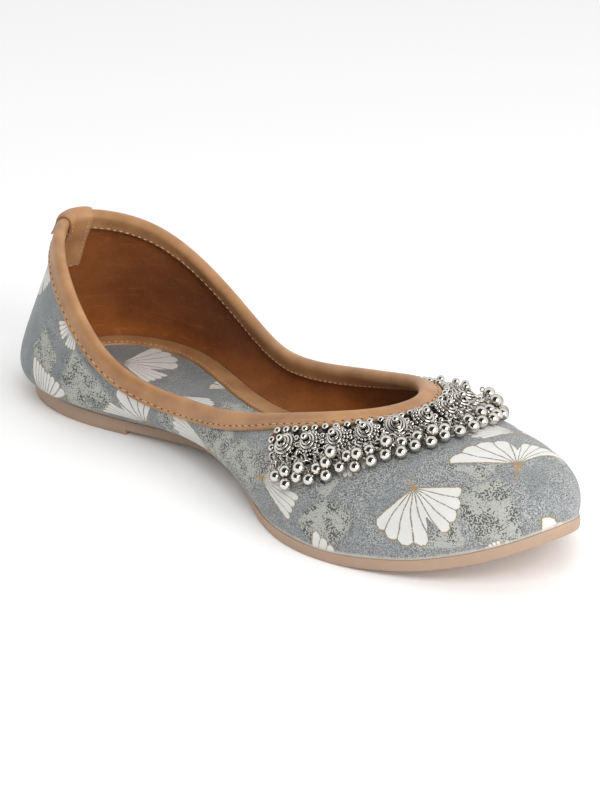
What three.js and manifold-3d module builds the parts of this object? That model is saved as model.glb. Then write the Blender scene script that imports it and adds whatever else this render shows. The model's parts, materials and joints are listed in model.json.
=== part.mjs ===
// An embellished ballet flat: printed upper, bound collar, bell trim round the throat, moulded sole.
// Millimetres. +X runs to the toe, +Z is up, and the origin is on the floor under the shoe's middle.
// The last is straight, so the shoe fits either foot: one side is worked out and the other mirrors it.

import * as THREE from "three";
import { mergeVertices } from "three/addons/utils/BufferGeometryUtils.js";
import Module from "manifold-3d";

const wasm = await Module();
wasm.setup();

// Driving dimensions of the last
const LENGTH = 245; // outsole, heel to toe
const BALL_HALF = 45; // half the width across the ball
const COLLAR_BACK = 60; // bound collar at the back of the heel, above the floor

// Materials' thicknesses, and the play between pieces that touch
const WALL = 1.8; // printed face, stiffener and lining together
const LEATHER = 0.9;
const GAP = 0.3;
const ROLL = WALL / 2 + GAP + LEATHER; // radius of the binding's rolled edge

// Collar binding's inside leaf and the heel tab, measured along the upper from the topline
const BINDING_INSIDE = 4.8;
const TAB = { halfTop: 7, halfInside: 5.5, outside: 6, inside: 20 };

// Sole and footbed
const SOLE_LIP = 0.5; // how far the sole stands out past the upper's edge
const SOLE_BEVEL = 0.6;
const BREAST_AT = 0.265; // front face of the heel lift, as a share of the length
const HEEL_LIFT = 1.6;
const INSOLE_THICK = 1.2;
const BORDER = { width: 7, thick: 0.5 };

// Bell trim: rosettes in a row round the throat, and bells that hang from them
const UNIT_COUNT = 12;
const UNIT_PITCH = 9.4;
const UNIT_ROW = 11.8; // the row's distance from the topline, along the upper
const RIM_BALLS = 8; // small balls round a rosette's dome
const BELL_RADIUS = 2;
const STEM_RADIUS = 0.45;
const STEMS_MEET = 5.8; // below the row

// Facets
const HALF_RIBS = 32; // from heel to toe on one side
const RIB_STEPS = 10; // from sole to collar

// Rows of numbers under named columns, as objects.
function table(columns, rows) {
  return rows.map((row) => Object.fromEntries(columns.map((column, i) => [column, row[i]])));
}

// Half of the last, a row for each section from the heel's middle round to the toe's.
// at and half place the section's foot on the sole's edge; lineAt, lineHalf and lineUp place its top on the
// collar: shares of the length, of the ball's half width and of the collar's height. The section leaves the
// sole footOut and footUp, and comes to the collar from lineOut and lineDown, in millimetres.
// leaf is the width of the binding's outside leaf there.
const LAST = table(
  ["at", "half", "lineAt", "lineHalf", "lineUp", "footOut", "footUp", "lineOut", "lineDown", "leaf"],
  [
    [0.0, 0.0, 0.018, 0.0, 1.0, 13, 1.5, 9.5, 34, 7.5],
    [0.03, 0.44, 0.045, 0.26, 0.985, 13, 1.5, 9.5, 34, 7.5],
    [0.12, 0.68, 0.115, 0.55, 0.873, 11.5, 2.5, 7, 28, 7.3],
    [0.25, 0.595, 0.234, 0.718, 0.554, 9, 4, 2.5, 12, 6.3],
    [0.42, 0.41, 0.371, 0.622, 0.397, 12, 2.5, 1.5, 7, 5.0],
    [0.57, 0.775, 0.5, 0.636, 0.468, 6.5, 6, 5, 8, 4.8],
    [0.69, 1.0, 0.583, 0.578, 0.556, 2.5, 10, 10, 6, 5.0],
    [0.84, 0.82, 0.655, 0.467, 0.633, 3, 12, 16, 6.5, 5.3],
    [0.955, 0.415, 0.7065, 0.211, 0.67, 5, 22, 26, 6.5, 5.5],
    [1.0, 0.0, 0.7175, 0.0, 0.677, 5, 24, 28, 6.5, 5.5],
  ],
);
const SIDE_COLUMNS = ["half", "lineHalf"]; // the ones that change sign on the other side

// The sole seen from the side: its underside above the floor, and its thickness at the edge.
const SOLE = table(
  ["at", "under", "thick"],
  [
    [0.0, HEEL_LIFT, 4.2],
    [0.15, HEEL_LIFT, 4.0],
    [0.27, HEEL_LIFT, 3.6],
    [0.42, 2.0, 3.3],
    [0.54, 1.0, 3.3],
    [0.62, 0, 3.4],
    [0.74, 0, 3.6],
    [0.84, 2.2, 3.8],
    [0.92, 7.0, 4.0],
    [1.0, 16.0, 4.2],
  ],
);

// A rosette from its foot up: its radius at a rim ball and between two, and the height above the foot.
const ROSETTE = table(
  ["atBall", "between", "height"],
  [
    [4.2, 3.3, 0.0],
    [4.55, 3.4, 1.1],
    [4.1, 3.2, 2.1],
    [2.9, 2.9, 1.9],
    [2.5, 2.5, 3.4],
    [1.0, 1.0, 4.4],
    [1.5, 1.5, 5.4],
    [0.9, 0.9, 6.5],
  ],
);

// Bells under a rosette: how far to the side and how far below the row each hangs.
const HANGING = table(
  ["side", "drop"],
  [
    [-3.2, 10.6],
    [-1.2, 15.0],
    [2.8, 13.8],
  ],
);

const FINISH = {
  print: { color: 0x8f9698, roughness: 0.75, metalness: 0 },
  leather: { color: 0xb98a5e, roughness: 0.55, metalness: 0 },
  rubber: { color: 0xa98570, roughness: 0.6, metalness: 0 },
  silver: { color: 0xc9c7c2, roughness: 0.2, metalness: 1 },
};

// Cubic Hermite blend of two values and slopes over a span, at the share t of it.
function hermite(from, to, slopeFrom, slopeTo, span, t) {
  const ease = t * t * (3 - 2 * t);
  const leave = t * (1 - t) * (1 - t) * span;
  const arrive = t * t * (1 - t) * span;
  return from + (to - from) * ease + slopeFrom * leave - slopeTo * arrive;
}

// A closed curve through the values at the knots. Its slopes are relaxed until its curvature is unbroken.
function closedSpline(knots, values, period) {
  const count = knots.length;
  const span = knots.map((knot, i) => (i + 1 < count ? knots[i + 1] : period) - knot);
  const rise = values.map((value, i) => (values[(i + 1) % count] - value) / span[i]);
  const slope = rise.slice();
  const relaxPasses = 60;
  for (let pass = 0; pass < relaxPasses; pass++) {
    for (let i = 0; i < count; i++) {
      const before = (i + count - 1) % count;
      const next = (i + 1) % count;
      const rises = rise[before] / span[before] + rise[i] / span[i];
      const slopes = slope[before] / span[before] + slope[next] / span[i];
      slope[i] = (3 * rises - slopes) / (2 / span[before] + 2 / span[i]);
    }
  }
  return (where) => {
    const knot = ((where % period) + period) % period;
    const i = knots.findLastIndex((k) => k <= knot);
    const next = (i + 1) % count;
    return hermite(values[i], values[next], slope[i], slope[next], span[i], (knot - knots[i]) / span[i]);
  };
}

// A smooth height along the shoe through the rows of the sole's table, level where two rows are level.
function soleProfile(column) {
  const end = SOLE.length - 1;
  const rise = SOLE.slice(1).map((row, i) => (row[column] - SOLE[i][column]) / (row.at - SOLE[i].at));
  const slope = SOLE.map((_, i) => {
    if (i === 0 || i === end) return 0;
    const [before, after] = [rise[i - 1], rise[i]];
    return before * after > 0 ? (2 * before * after) / (before + after) : 0;
  });
  slope[end] = 2 * rise[end - 1] - slope[end - 1];
  return (share) => {
    const at = THREE.MathUtils.clamp(share, 0, 1);
    const i = Math.min(SOLE.findLastIndex((row) => row.at <= at), end - 1);
    const span = SOLE[i + 1].at - SOLE[i].at;
    const t = (at - SOLE[i].at) / span;
    return hermite(SOLE[i][column], SOLE[i + 1][column], slope[i], slope[i + 1], span, t);
  };
}

const underAt = soleProfile("under");
const thickAt = soleProfile("thick");
const shareOf = (x) => x / LENGTH + 0.5;
const soleTop = (x) => underAt(shareOf(x)) + thickAt(shareOf(x));

// The last's columns as closed curves round the shoe: 0 is the heel's middle and 0.5 the toe's.
// The right side comes first.
function lastCurves() {
  const mirrored = LAST.slice(1, -1).reverse();
  const rows = [...LAST, ...mirrored];
  const sides = rows.map((_, i) => (i < LAST.length ? -1 : 1));
  const feet = rows.map((row, i) => {
    return new THREE.Vector2((row.at - 0.5) * LENGTH, row.half * BALL_HALF * sides[i]);
  });
  const steps = feet.map((foot, i) => foot.distanceTo(feet[(i + 1) % feet.length]));
  const period = steps.reduce((sum, step) => sum + step, 0);
  let travelled = 0;
  const knots = steps.map((step) => {
    travelled += step;
    return (travelled - step) / period;
  });
  const curves = {};
  for (const column of Object.keys(LAST[0])) {
    const signed = SIDE_COLUMNS.includes(column);
    const values = rows.map((row, i) => (signed ? row[column] * sides[i] : row[column]));
    curves[column] = closedSpline(knots, values, 1);
  }
  return curves;
}

const last = lastCurves();
const inPlan = (at, half) => new THREE.Vector2((at - 0.5) * LENGTH, half * BALL_HALF);
const footAt = (loop) => inPlan(last.at(loop), last.half(loop));
const lineAt = (loop) => inPlan(last.lineAt(loop), last.lineHalf(loop));

// Outward direction, seen from above, of a closed curve round the shoe.
function outward(curve, loop) {
  const step = 1e-3;
  const along = curve(loop + step).sub(curve(loop - step)).normalize();
  return new THREE.Vector3(along.y, -along.x, 0);
}

// One section of the upper's outside, from the sole's edge to the collar.
function rib(loop) {
  const foot = footAt(loop);
  const line = lineAt(loop);
  const low = new THREE.Vector3(foot.x, foot.y, soleTop(foot.x) + GAP);
  const high = new THREE.Vector3(line.x, line.y, last.lineUp(loop) * COLLAR_BACK - ROLL);
  const lowHandle = low.clone().addScaledVector(outward(footAt, loop), last.footOut(loop));
  lowHandle.z += last.footUp(loop);
  const highHandle = high.clone().addScaledVector(outward(lineAt, loop), last.lineOut(loop));
  highHandle.z -= last.lineDown(loop);
  return new THREE.CubicBezierCurve3(low, lowHandle, highHandle, high);
}

// Outward normal of the upper at a place on a section.
function skinNormal(loop, share) {
  const step = 1e-3;
  const up = rib(loop).getTangent(share);
  const along = rib(loop + step).getPoint(share).sub(rib(loop - step).getPoint(share));
  return along.cross(up).normalize();
}

// A point of the upper's outside moved out along the normal, or in when the offset is negative.
function skin(loop, share, offset = 0) {
  return rib(loop).getPoint(share).addScaledVector(skinNormal(loop, share), offset);
}

// The share of a section that lies the given distance below the collar, measured along the section.
function shareBelowLine(loop, distance) {
  const curve = rib(loop);
  return curve.getUtoTmapping(1 - Math.min(distance / curve.getLength(), 1));
}

const belowLine = (loop, distance, offset) => skin(loop, shareBelowLine(loop, distance), offset);

// A geometry as a solid: doubled points become one, and triangles that vanish are dropped.
function toSolid(geometry) {
  const bare = new THREE.BufferGeometry().setAttribute("position", geometry.getAttribute("position"));
  bare.setIndex(geometry.index);
  const merged = mergeVertices(bare, 1e-4);
  const kept = [];
  const index = merged.index.array;
  for (let i = 0; i < index.length; i += 3) {
    const [a, b, c] = index.slice(i, i + 3);
    if (a !== b && b !== c && c !== a) kept.push(a, b, c);
  }
  const mesh = new wasm.Mesh({
    numProp: 3,
    vertProperties: merged.getAttribute("position").array,
    triVerts: new Uint32Array(kept),
  });
  return new wasm.Manifold(mesh);
}

function solidFrom(points, triangles) {
  const geometry = new THREE.BufferGeometry().setFromPoints(points);
  geometry.setIndex(triangles.flat());
  return toSolid(geometry);
}

// A solid as a named mesh in one of the finishes.
function nodeFrom(solid, name, finish) {
  const mesh = solid.getMesh();
  const geometry = new THREE.BufferGeometry();
  geometry.setAttribute("position", new THREE.BufferAttribute(mesh.vertProperties, 3));
  geometry.setIndex(new THREE.BufferAttribute(mesh.triVerts, 1));
  geometry.computeVertexNormals();
  const node = new THREE.Mesh(geometry, new THREE.MeshStandardMaterial(FINISH[finish]));
  node.name = name;
  return node;
}

// Skins a grid of rings. Rings and the points in each close on themselves when asked to.
function loft(rings, closeRings, closePoints) {
  const size = rings[0].length;
  const triangles = [];
  const ringSteps = closeRings ? rings.length : rings.length - 1;
  const pointSteps = closePoints ? size : size - 1;
  for (let r = 0; r < ringSteps; r++) {
    const next = (r + 1) % rings.length;
    for (let p = 0; p < pointSteps; p++) {
      const q = (p + 1) % size;
      const [a, b, c, d] = [r * size + p, next * size + p, next * size + q, r * size + q];
      triangles.push([a, b, c], [a, c, d]);
    }
  }
  return { points: rings.flat(), triangles };
}

// Loop positions of the ribs on the right side: closer together where the sole's edge turns more.
function rightLoops() {
  const samples = 800;
  const turnWeight = 40; // millimetres of straight edge that a radian of turn counts for
  const travelled = [0];
  for (let i = 1; i <= samples; i++) {
    const [from, to] = [((i - 1) / samples) * 0.5, (i / samples) * 0.5];
    const length = footAt(from).distanceTo(footAt(to));
    const turn = outward(footAt, from).angleTo(outward(footAt, to));
    travelled.push(travelled[i - 1] + length + turnWeight * turn);
  }
  const step = travelled[samples] / HALF_RIBS;
  const inner = Array.from({ length: HALF_RIBS - 1 }, (_, i) => {
    const stop = travelled.findIndex((length) => length >= (i + 1) * step);
    return (stop / samples) * 0.5;
  });
  return [0, ...inner, 0.5];
}

const right = rightLoops();
const loops = [...right, ...right.slice(1, -1).reverse().map((loop) => 1 - loop)];

// The upper: one shell with its wall, open at the collar and underneath.
function upper() {
  const shares = Array.from({ length: RIB_STEPS + 1 }, (_, i) => i / RIB_STEPS);
  const sections = loops.map((loop) => {
    const outside = shares.map((share) => skin(loop, share));
    const inside = shares.map((share) => skin(loop, share, -WALL));
    return [...outside, ...inside.reverse()];
  });
  const { points, triangles } = loft(sections, true, true);
  return solidFrom(points, triangles);
}

// A point of a roll over the collar's edge: it turns from outside, over the top, to inside.
function rollPoint(loop, turn, radius) {
  const reach = skinNormal(loop, 1).multiplyScalar(Math.cos(turn));
  reach.addScaledVector(rib(loop).getTangent(1), Math.sin(turn));
  return skin(loop, 1, -WALL / 2).addScaledVector(reach, radius);
}

// The collar binding: a leaf outside, a rolled edge over the collar and a leaf inside, all one strip.
function collarBinding() {
  const rollSteps = 4;
  const turns = Array.from({ length: rollSteps + 1 }, (_, i) => (Math.PI * i) / rollSteps);
  const sheet = (loop, offset) => [
    belowLine(loop, last.leaf(loop), offset),
    belowLine(loop, last.leaf(loop) / 2, offset),
    ...turns.map((turn) => rollPoint(loop, turn, WALL / 2 + offset)),
    belowLine(loop, BINDING_INSIDE, -WALL - offset),
  ];
  const sections = loops.map((loop) => [...sheet(loop, GAP + LEATHER), ...sheet(loop, GAP).reverse()]);
  const { points, triangles } = loft(sections, true, true);
  return solidFrom(points, triangles);
}

// The loop position, near the heel's middle, where the upper is the given distance to the side.
function loopAtSide(distance, sideways) {
  let [low, high] = [0, 0.12]; // well past the tab's edge
  for (let halving = 0; halving < 24; halving++) {
    const middle = (low + high) / 2;
    if (Math.abs(belowLine(middle, distance, 0).y) < Math.abs(sideways)) low = middle;
    else high = middle;
  }
  return sideways < 0 ? low : -low;
}

// The heel tab: a leather strip folded over the binding at the back, longer inside than outside.
function heelTab() {
  const overBinding = GAP + LEATHER + GAP;
  const ease = 2; // the strip comes down off the binding's inside edge over this length
  const acrossSteps = 4;
  const rollSteps = 4;
  const shares = Array.from({ length: acrossSteps + 1 }, (_, i) => (2 * i) / acrossSteps - 1);
  const level = (distance, half, offset) =>
    shares.map((share) => belowLine(loopAtSide(distance, half * share), distance, offset));
  const sheet = (extra) => {
    const outside = [TAB.outside, TAB.outside / 2].map((distance) =>
      level(distance, TAB.halfTop, overBinding + extra),
    );
    const over = Array.from({ length: rollSteps + 1 }, (_, step) =>
      shares.map((share) => {
        const loop = loopAtSide(0, TAB.halfTop * share);
        return rollPoint(loop, (Math.PI * step) / rollSteps, WALL / 2 + overBinding + extra);
      }),
    );
    const stops = [BINDING_INSIDE / 2, BINDING_INSIDE, BINDING_INSIDE + ease, TAB.inside];
    const inside = stops.map((distance) => {
      const half = THREE.MathUtils.lerp(TAB.halfTop, TAB.halfInside, distance / TAB.inside);
      const settled = THREE.MathUtils.smoothstep(distance, BINDING_INSIDE, BINDING_INSIDE + ease);
      return level(distance, half, -WALL - THREE.MathUtils.lerp(overBinding, GAP, settled) - extra);
    });
    return [...outside, ...over, ...inside];
  };
  const face = sheet(LEATHER);
  const back = sheet(0);
  const sections = face.map((line, i) => [...line, ...back[i].reverse()]);
  const { points, triangles } = loft(sections, false, true);
  const size = sections[0].length;
  const cap = (start, flip) => {
    for (let i = 0; i < acrossSteps; i++) {
      const [a, b, c, d] = [start + i, start + i + 1, start + size - 2 - i, start + size - 1 - i];
      triangles.push(flip ? [a, c, b] : [a, b, c], flip ? [a, d, c] : [a, c, d]);
    }
  };
  cap(0, false);
  cap((sections.length - 1) * size, true);
  return solidFrom(points, triangles);
}

// The sole's stations from heel to toe on the right side. The heel's breast comes twice: lifted, then not.
function soleStations() {
  let [low, high] = [0, 0.5];
  for (let halving = 0; halving < 30; halving++) {
    const middle = (low + high) / 2;
    if (last.at(middle) < BREAST_AT) low = middle;
    else high = middle;
  }
  const heel = right.filter((loop) => loop < low);
  const front = right.filter((loop) => loop > low);
  const station = (lift) => (loop) => ({ foot: footAt(loop), out: outward(footAt, loop), lift });
  return [...[...heel, low].map(station(HEEL_LIFT)), ...[low, ...front].map(station(0))];
}

// A flat piece from layers, bottom to top. Each layer gives a station's point on the right side.
// The left side mirrors it.
function layered(places, layers) {
  const rings = layers.map((layer) => {
    const near = places.map(layer);
    const far = near.slice(1, -1).reverse().map((p) => new THREE.Vector3(p.x, -p.y, p.z));
    return [...near, ...far];
  });
  const { points, triangles } = loft(rings, false, true);
  const turned = triangles.map(([a, b, c]) => [a, c, b]);
  const size = rings[0].length;
  const across = (start, up) => {
    const other = (i) => start + ((size - i) % size);
    for (let i = 0; i < places.length - 1; i++) {
      const [a, b, c, d] = [start + i, start + i + 1, other(i + 1), other(i)];
      turned.push(up ? [a, b, c] : [a, c, b], up ? [a, c, d] : [a, d, c]);
    }
  };
  across(0, false);
  across((rings.length - 1) * size, true);
  return solidFrom(points, turned);
}

// The outsole: underside with a heel lift, arch and toe spring, bevelled edges and a plain wall.
function outsole() {
  const layer = (reach, height) => (station) => {
    const x = station.foot.x + station.out.x * reach;
    const y = Math.min(station.foot.y + station.out.y * reach, 0);
    return new THREE.Vector3(x, y, height(station));
  };
  const under = ({ foot, lift }) => underAt(shareOf(foot.x)) - lift;
  const top = ({ foot }) => soleTop(foot.x);
  return layered(soleStations(), [
    layer(SOLE_LIP - SOLE_BEVEL, under),
    layer(SOLE_LIP, (station) => under(station) + SOLE_BEVEL),
    layer(SOLE_LIP, (station) => top(station) - SOLE_BEVEL),
    layer(SOLE_LIP - SOLE_BEVEL, top),
  ]);
}

// A point on the footbed's edge, or the inset in from it, at a height above the sole's top.
function footbedAt(loop, height, inset) {
  const point = skin(loop, 0, -WALL).addScaledVector(outward(footAt, loop), -2 * GAP - inset);
  point.z = soleTop(footAt(loop).x) + GAP + height;
  return point;
}

// The footbed: a board that follows the lining and the sole's top.
function insole() {
  const places = right.map((loop) => ({ loop }));
  const layer = (height) => (place) => {
    const point = footbedAt(place.loop, height, 0);
    point.y = Math.min(point.y, 0);
    return point;
  };
  return layered(places, [layer(0), layer(INSOLE_THICK)]);
}

// The strip round the footbed's edge.
function insoleBorder() {
  const low = INSOLE_THICK + GAP;
  const high = low + BORDER.thick;
  const sections = loops.map((loop) => [
    footbedAt(loop, low, 0),
    footbedAt(loop, high, 0),
    footbedAt(loop, high, BORDER.width),
    footbedAt(loop, low, BORDER.width),
  ]);
  const { points, triangles } = loft(sections, true, true);
  return solidFrom(points, triangles);
}

// The trim's row as a list of loop positions and the lengths travelled from the toe's middle to each.
function trimRow() {
  const samples = 240;
  const reach = 0.24; // of the way round the shoe, past the row's end
  const stops = [{ loop: 0.5, along: 0 }];
  let from = belowLine(0.5, UNIT_ROW, 0);
  for (let i = 1; i <= samples; i++) {
    const loop = 0.5 + (reach * i) / samples;
    const to = belowLine(loop, UNIT_ROW, 0);
    stops.push({ loop, along: stops[i - 1].along + from.distanceTo(to) });
    from = to;
  }
  return stops;
}

const row = trimRow();

// The loop position at a length along the trim's row, counted from the toe's middle, right side negative.
function loopAlong(along) {
  const length = Math.abs(along);
  const i = Math.min(row.findLastIndex((stop) => stop.along <= length), row.length - 2);
  const t = (length - row[i].along) / (row[i + 1].along - row[i].along);
  const turn = THREE.MathUtils.lerp(row[i].loop, row[i + 1].loop, t) - 0.5;
  return 0.5 + Math.sign(along) * turn;
}

// A rosette: a dome with a ball on top and a rim of small balls, on the upper below the binding.
function rosette(along) {
  const loop = loopAlong(along);
  const share = shareBelowLine(loop, UNIT_ROW);
  const out = skinNormal(loop, share);
  const up = rib(loop).getTangent(share);
  const side = up.clone().cross(out);
  const place = new THREE.Matrix4().makeBasis(side, up, out).setPosition(skin(loop, share, GAP));
  const sides = 2 * RIM_BALLS;
  const rings = ROSETTE.map(({ atBall, between, height }) =>
    Array.from({ length: sides }, (_, i) => {
      const turn = (2 * Math.PI * i) / sides;
      const radius = i % 2 ? between : atBall;
      return new THREE.Vector3(radius * Math.cos(turn), radius * Math.sin(turn), height);
    }),
  );
  const { points, triangles } = loft(rings, false, true);
  const turned = triangles.map(([a, b, c]) => [a, c, b]);
  const top = (rings.length - 1) * sides;
  const foot = points.push(new THREE.Vector3(0, 0, ROSETTE[0].height)) - 1;
  const crown = points.push(new THREE.Vector3(0, 0, ROSETTE.at(-1).height)) - 1;
  for (let i = 0; i < sides; i++) {
    const next = (i + 1) % sides;
    turned.push([foot, next, i], [crown, top + i, top + next]);
  }
  return solidFrom(points.map((point) => point.applyMatrix4(place)), turned);
}

// A bell and its stem in one turned form: the bell's middle is at one end and the stem's tip at the other.
function bell(middle, tip) {
  const reach = middle.distanceTo(tip);
  const shoulder = THREE.MathUtils.degToRad(35);
  const [girth, rise] = [BELL_RADIUS * Math.cos(shoulder), BELL_RADIUS * Math.sin(shoulder)];
  const profile = [
    new THREE.Vector2(0, -BELL_RADIUS),
    new THREE.Vector2(girth, -rise),
    new THREE.Vector2(girth, rise),
    new THREE.Vector2(STEM_RADIUS, BELL_RADIUS),
    new THREE.Vector2(STEM_RADIUS, reach),
    new THREE.Vector2(0, reach),
  ];
  const sides = 6;
  const geometry = new THREE.LatheGeometry(profile, sides);
  geometry.deleteAttribute("normal");
  geometry.deleteAttribute("uv");
  const along = tip.clone().sub(middle).normalize();
  geometry.applyQuaternion(new THREE.Quaternion().setFromUnitVectors(new THREE.Vector3(0, 1, 0), along));
  geometry.translate(middle.x, middle.y, middle.z);
  return toSolid(geometry);
}

// The bells that hang from one rosette and lie on the upper. Their stems meet below the rosette.
function bellCluster(along) {
  const lift = GAP + BELL_RADIUS;
  const meet = belowLine(loopAlong(along), UNIT_ROW + STEMS_MEET, lift);
  const bells = HANGING.map(({ side, drop }) =>
    bell(belowLine(loopAlong(along + side), UNIT_ROW + drop, lift), meet),
  );
  return bells.reduce((cluster, next) => cluster.add(next));
}

const shoe = new THREE.Group();
shoe.add(
  nodeFrom(outsole(), "outsole", "rubber"),
  nodeFrom(upper(), "upper", "print"),
  nodeFrom(collarBinding(), "collar_binding", "leather"),
  nodeFrom(heelTab(), "heel_tab", "leather"),
  nodeFrom(insole(), "insole", "print"),
  nodeFrom(insoleBorder(), "insole_border", "leather"),
);
for (let unit = 0; unit < UNIT_COUNT; unit++) {
  const along = (unit - (UNIT_COUNT - 1) / 2) * UNIT_PITCH;
  const number = String(unit + 1).padStart(2, "0");
  shoe.add(nodeFrom(rosette(along), `rosette_${number}`, "silver"));
  shoe.add(nodeFrom(bellCluster(along), `bell_cluster_${number}`, "silver"));
}

// The origin goes under the middle of the whole shoe, whose heel and toe stand out past the sole.
const box = new THREE.Box3().setFromObject(shoe);
shoe.position.x = -(box.min.x + box.max.x) / 2;

export default shoe;
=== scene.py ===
"""Dresses the embellished ballet flat: printed upper, bound collar, bell trim and moulded sole.

Pieces are modelled in millimetres on the last's own axes. Each finished mesh is brought to metres.
"""

import json
import logging
import math
import random
from dataclasses import dataclass, field
from enum import Enum
from functools import cache, partial
from typing import Any, Callable, Sequence

import bmesh
import bpy
from bmesh.types import BMesh
from bpy.types import ID, Material, Mesh, Node, NodeSocket, NodeTree, Object
from mathutils import Matrix, Vector

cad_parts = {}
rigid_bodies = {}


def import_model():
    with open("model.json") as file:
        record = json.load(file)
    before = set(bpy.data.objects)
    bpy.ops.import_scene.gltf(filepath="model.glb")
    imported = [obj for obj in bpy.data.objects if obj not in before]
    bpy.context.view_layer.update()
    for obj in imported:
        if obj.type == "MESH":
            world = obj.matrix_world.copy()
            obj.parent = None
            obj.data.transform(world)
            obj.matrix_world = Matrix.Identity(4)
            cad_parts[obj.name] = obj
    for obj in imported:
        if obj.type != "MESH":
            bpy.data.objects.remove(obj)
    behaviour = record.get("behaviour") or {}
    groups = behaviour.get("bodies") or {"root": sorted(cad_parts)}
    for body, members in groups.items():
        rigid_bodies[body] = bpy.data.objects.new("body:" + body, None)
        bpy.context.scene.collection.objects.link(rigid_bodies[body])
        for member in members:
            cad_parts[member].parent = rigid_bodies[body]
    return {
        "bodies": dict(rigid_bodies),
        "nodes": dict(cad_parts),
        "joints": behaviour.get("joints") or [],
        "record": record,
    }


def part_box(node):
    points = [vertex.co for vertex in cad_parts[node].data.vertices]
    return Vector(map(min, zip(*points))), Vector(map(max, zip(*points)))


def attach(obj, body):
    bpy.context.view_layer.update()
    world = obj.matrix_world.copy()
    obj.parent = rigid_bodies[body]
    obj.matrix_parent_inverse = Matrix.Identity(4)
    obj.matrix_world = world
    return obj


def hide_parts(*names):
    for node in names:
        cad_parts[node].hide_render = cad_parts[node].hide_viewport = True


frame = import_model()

LOG = logging.getLogger("ballet_flat")
MM = 0.001
MERGE_MM = 1e-4
SHARP_DEG = 50.0
Place = Callable[[float], Vector]


class Slot(Enum):
    """The record's material slots."""

    RUBBER = "sole_rubber"
    CLOTH = "printed_cloth"
    LEATHER = "tan_leather"
    SILVER = "silver_metal"


# Shape of the last


@dataclass(frozen=True)
class Section:
    """One section of the last, from the sole's edge to the collar.

    Places are shares of the length, of the ball's half width and of the collar's height. The
    handles that leave the sole and come to the collar are millimetres, and so is the binding's
    outside leaf.
    """

    at: float
    half: float
    line_at: float
    line_half: float
    line_up: float
    foot_out: float
    foot_up: float
    line_out: float
    line_down: float
    leaf: float


SECTIONS = (
    Section(0.0, 0.0, 0.018, 0.0, 1.0, 13, 1.5, 9.5, 34, 7.5),
    Section(0.03, 0.44, 0.045, 0.26, 0.985, 13, 1.5, 9.5, 34, 7.5),
    Section(0.12, 0.68, 0.115, 0.55, 0.873, 11.5, 2.5, 7, 28, 7.3),
    Section(0.25, 0.595, 0.234, 0.718, 0.554, 9, 4, 2.5, 12, 6.3),
    Section(0.42, 0.41, 0.371, 0.622, 0.397, 12, 2.5, 1.5, 7, 5.0),
    Section(0.57, 0.775, 0.5, 0.636, 0.468, 6.5, 6, 5, 8, 4.8),
    Section(0.69, 1.0, 0.583, 0.578, 0.556, 2.5, 10, 10, 6, 5.0),
    Section(0.84, 0.82, 0.655, 0.467, 0.633, 3, 12, 16, 6.5, 5.3),
    Section(0.955, 0.415, 0.7065, 0.211, 0.67, 5, 22, 26, 6.5, 5.5),
    Section(1.0, 0.0, 0.7175, 0.0, 0.677, 5, 24, 28, 6.5, 5.5),
)

# The sole from the side: share of the length, underside above the floor, and thickness at the edge.
SOLE = (
    (0.0, 1.6, 4.2), (0.15, 1.6, 4.0), (0.27, 1.6, 3.6), (0.42, 2.0, 3.3), (0.54, 1.0, 3.3),
    (0.62, 0.0, 3.4), (0.74, 0.0, 3.6), (0.84, 2.2, 3.8), (0.92, 7.0, 4.0), (1.0, 16.0, 4.2),
)


def hermite(ends: tuple[float, float], slopes: tuple[float, float], span: float, t: float) -> float:
    """Blend two values and their slopes, at a share of the span between them."""
    ease = t * t * (3 - 2 * t)
    leave = t * (1 - t) * (1 - t) * span
    arrive = t * t * (1 - t) * span
    return ends[0] + (ends[1] - ends[0]) * ease + slopes[0] * leave - slopes[1] * arrive


class ClosedSpline:
    """A closed curve through values at knots from 0 to 1, with unbroken curvature."""

    RELAX_PASSES = 60

    def __init__(self, knots: Sequence[float], values: Sequence[float]) -> None:
        """Relax the slopes.

        Args:
            knots: Where the values are, rising from 0.
            values: The value at each knot.
        """
        count = len(knots)
        self.knots, self.values = list(knots), list(values)
        self.span = [(knots[i + 1] if i + 1 < count else 1.0) - knots[i] for i in range(count)]
        rise = [(values[(i + 1) % count] - values[i]) / self.span[i] for i in range(count)]
        self.slope = rise.copy()
        for _ in range(self.RELAX_PASSES):
            for i in range(count):
                before, after = self.span[i - 1], self.span[i]
                rises = rise[i - 1] / before + rise[i] / after
                slopes = self.slope[i - 1] / before + self.slope[(i + 1) % count] / after
                self.slope[i] = (3 * rises - slopes) / (2 / before + 2 / after)

    def at(self, where: float) -> float:
        """Give the value at a place, which wraps round."""
        knot = where % 1.0
        i = max(k for k, start in enumerate(self.knots) if start <= knot)
        after, t = (i + 1) % len(self.knots), (knot - self.knots[i]) / self.span[i]
        ends, slopes = (self.values[i], self.values[after]), (self.slope[i], self.slope[after])
        return hermite(ends, slopes, self.span[i], t)


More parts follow.
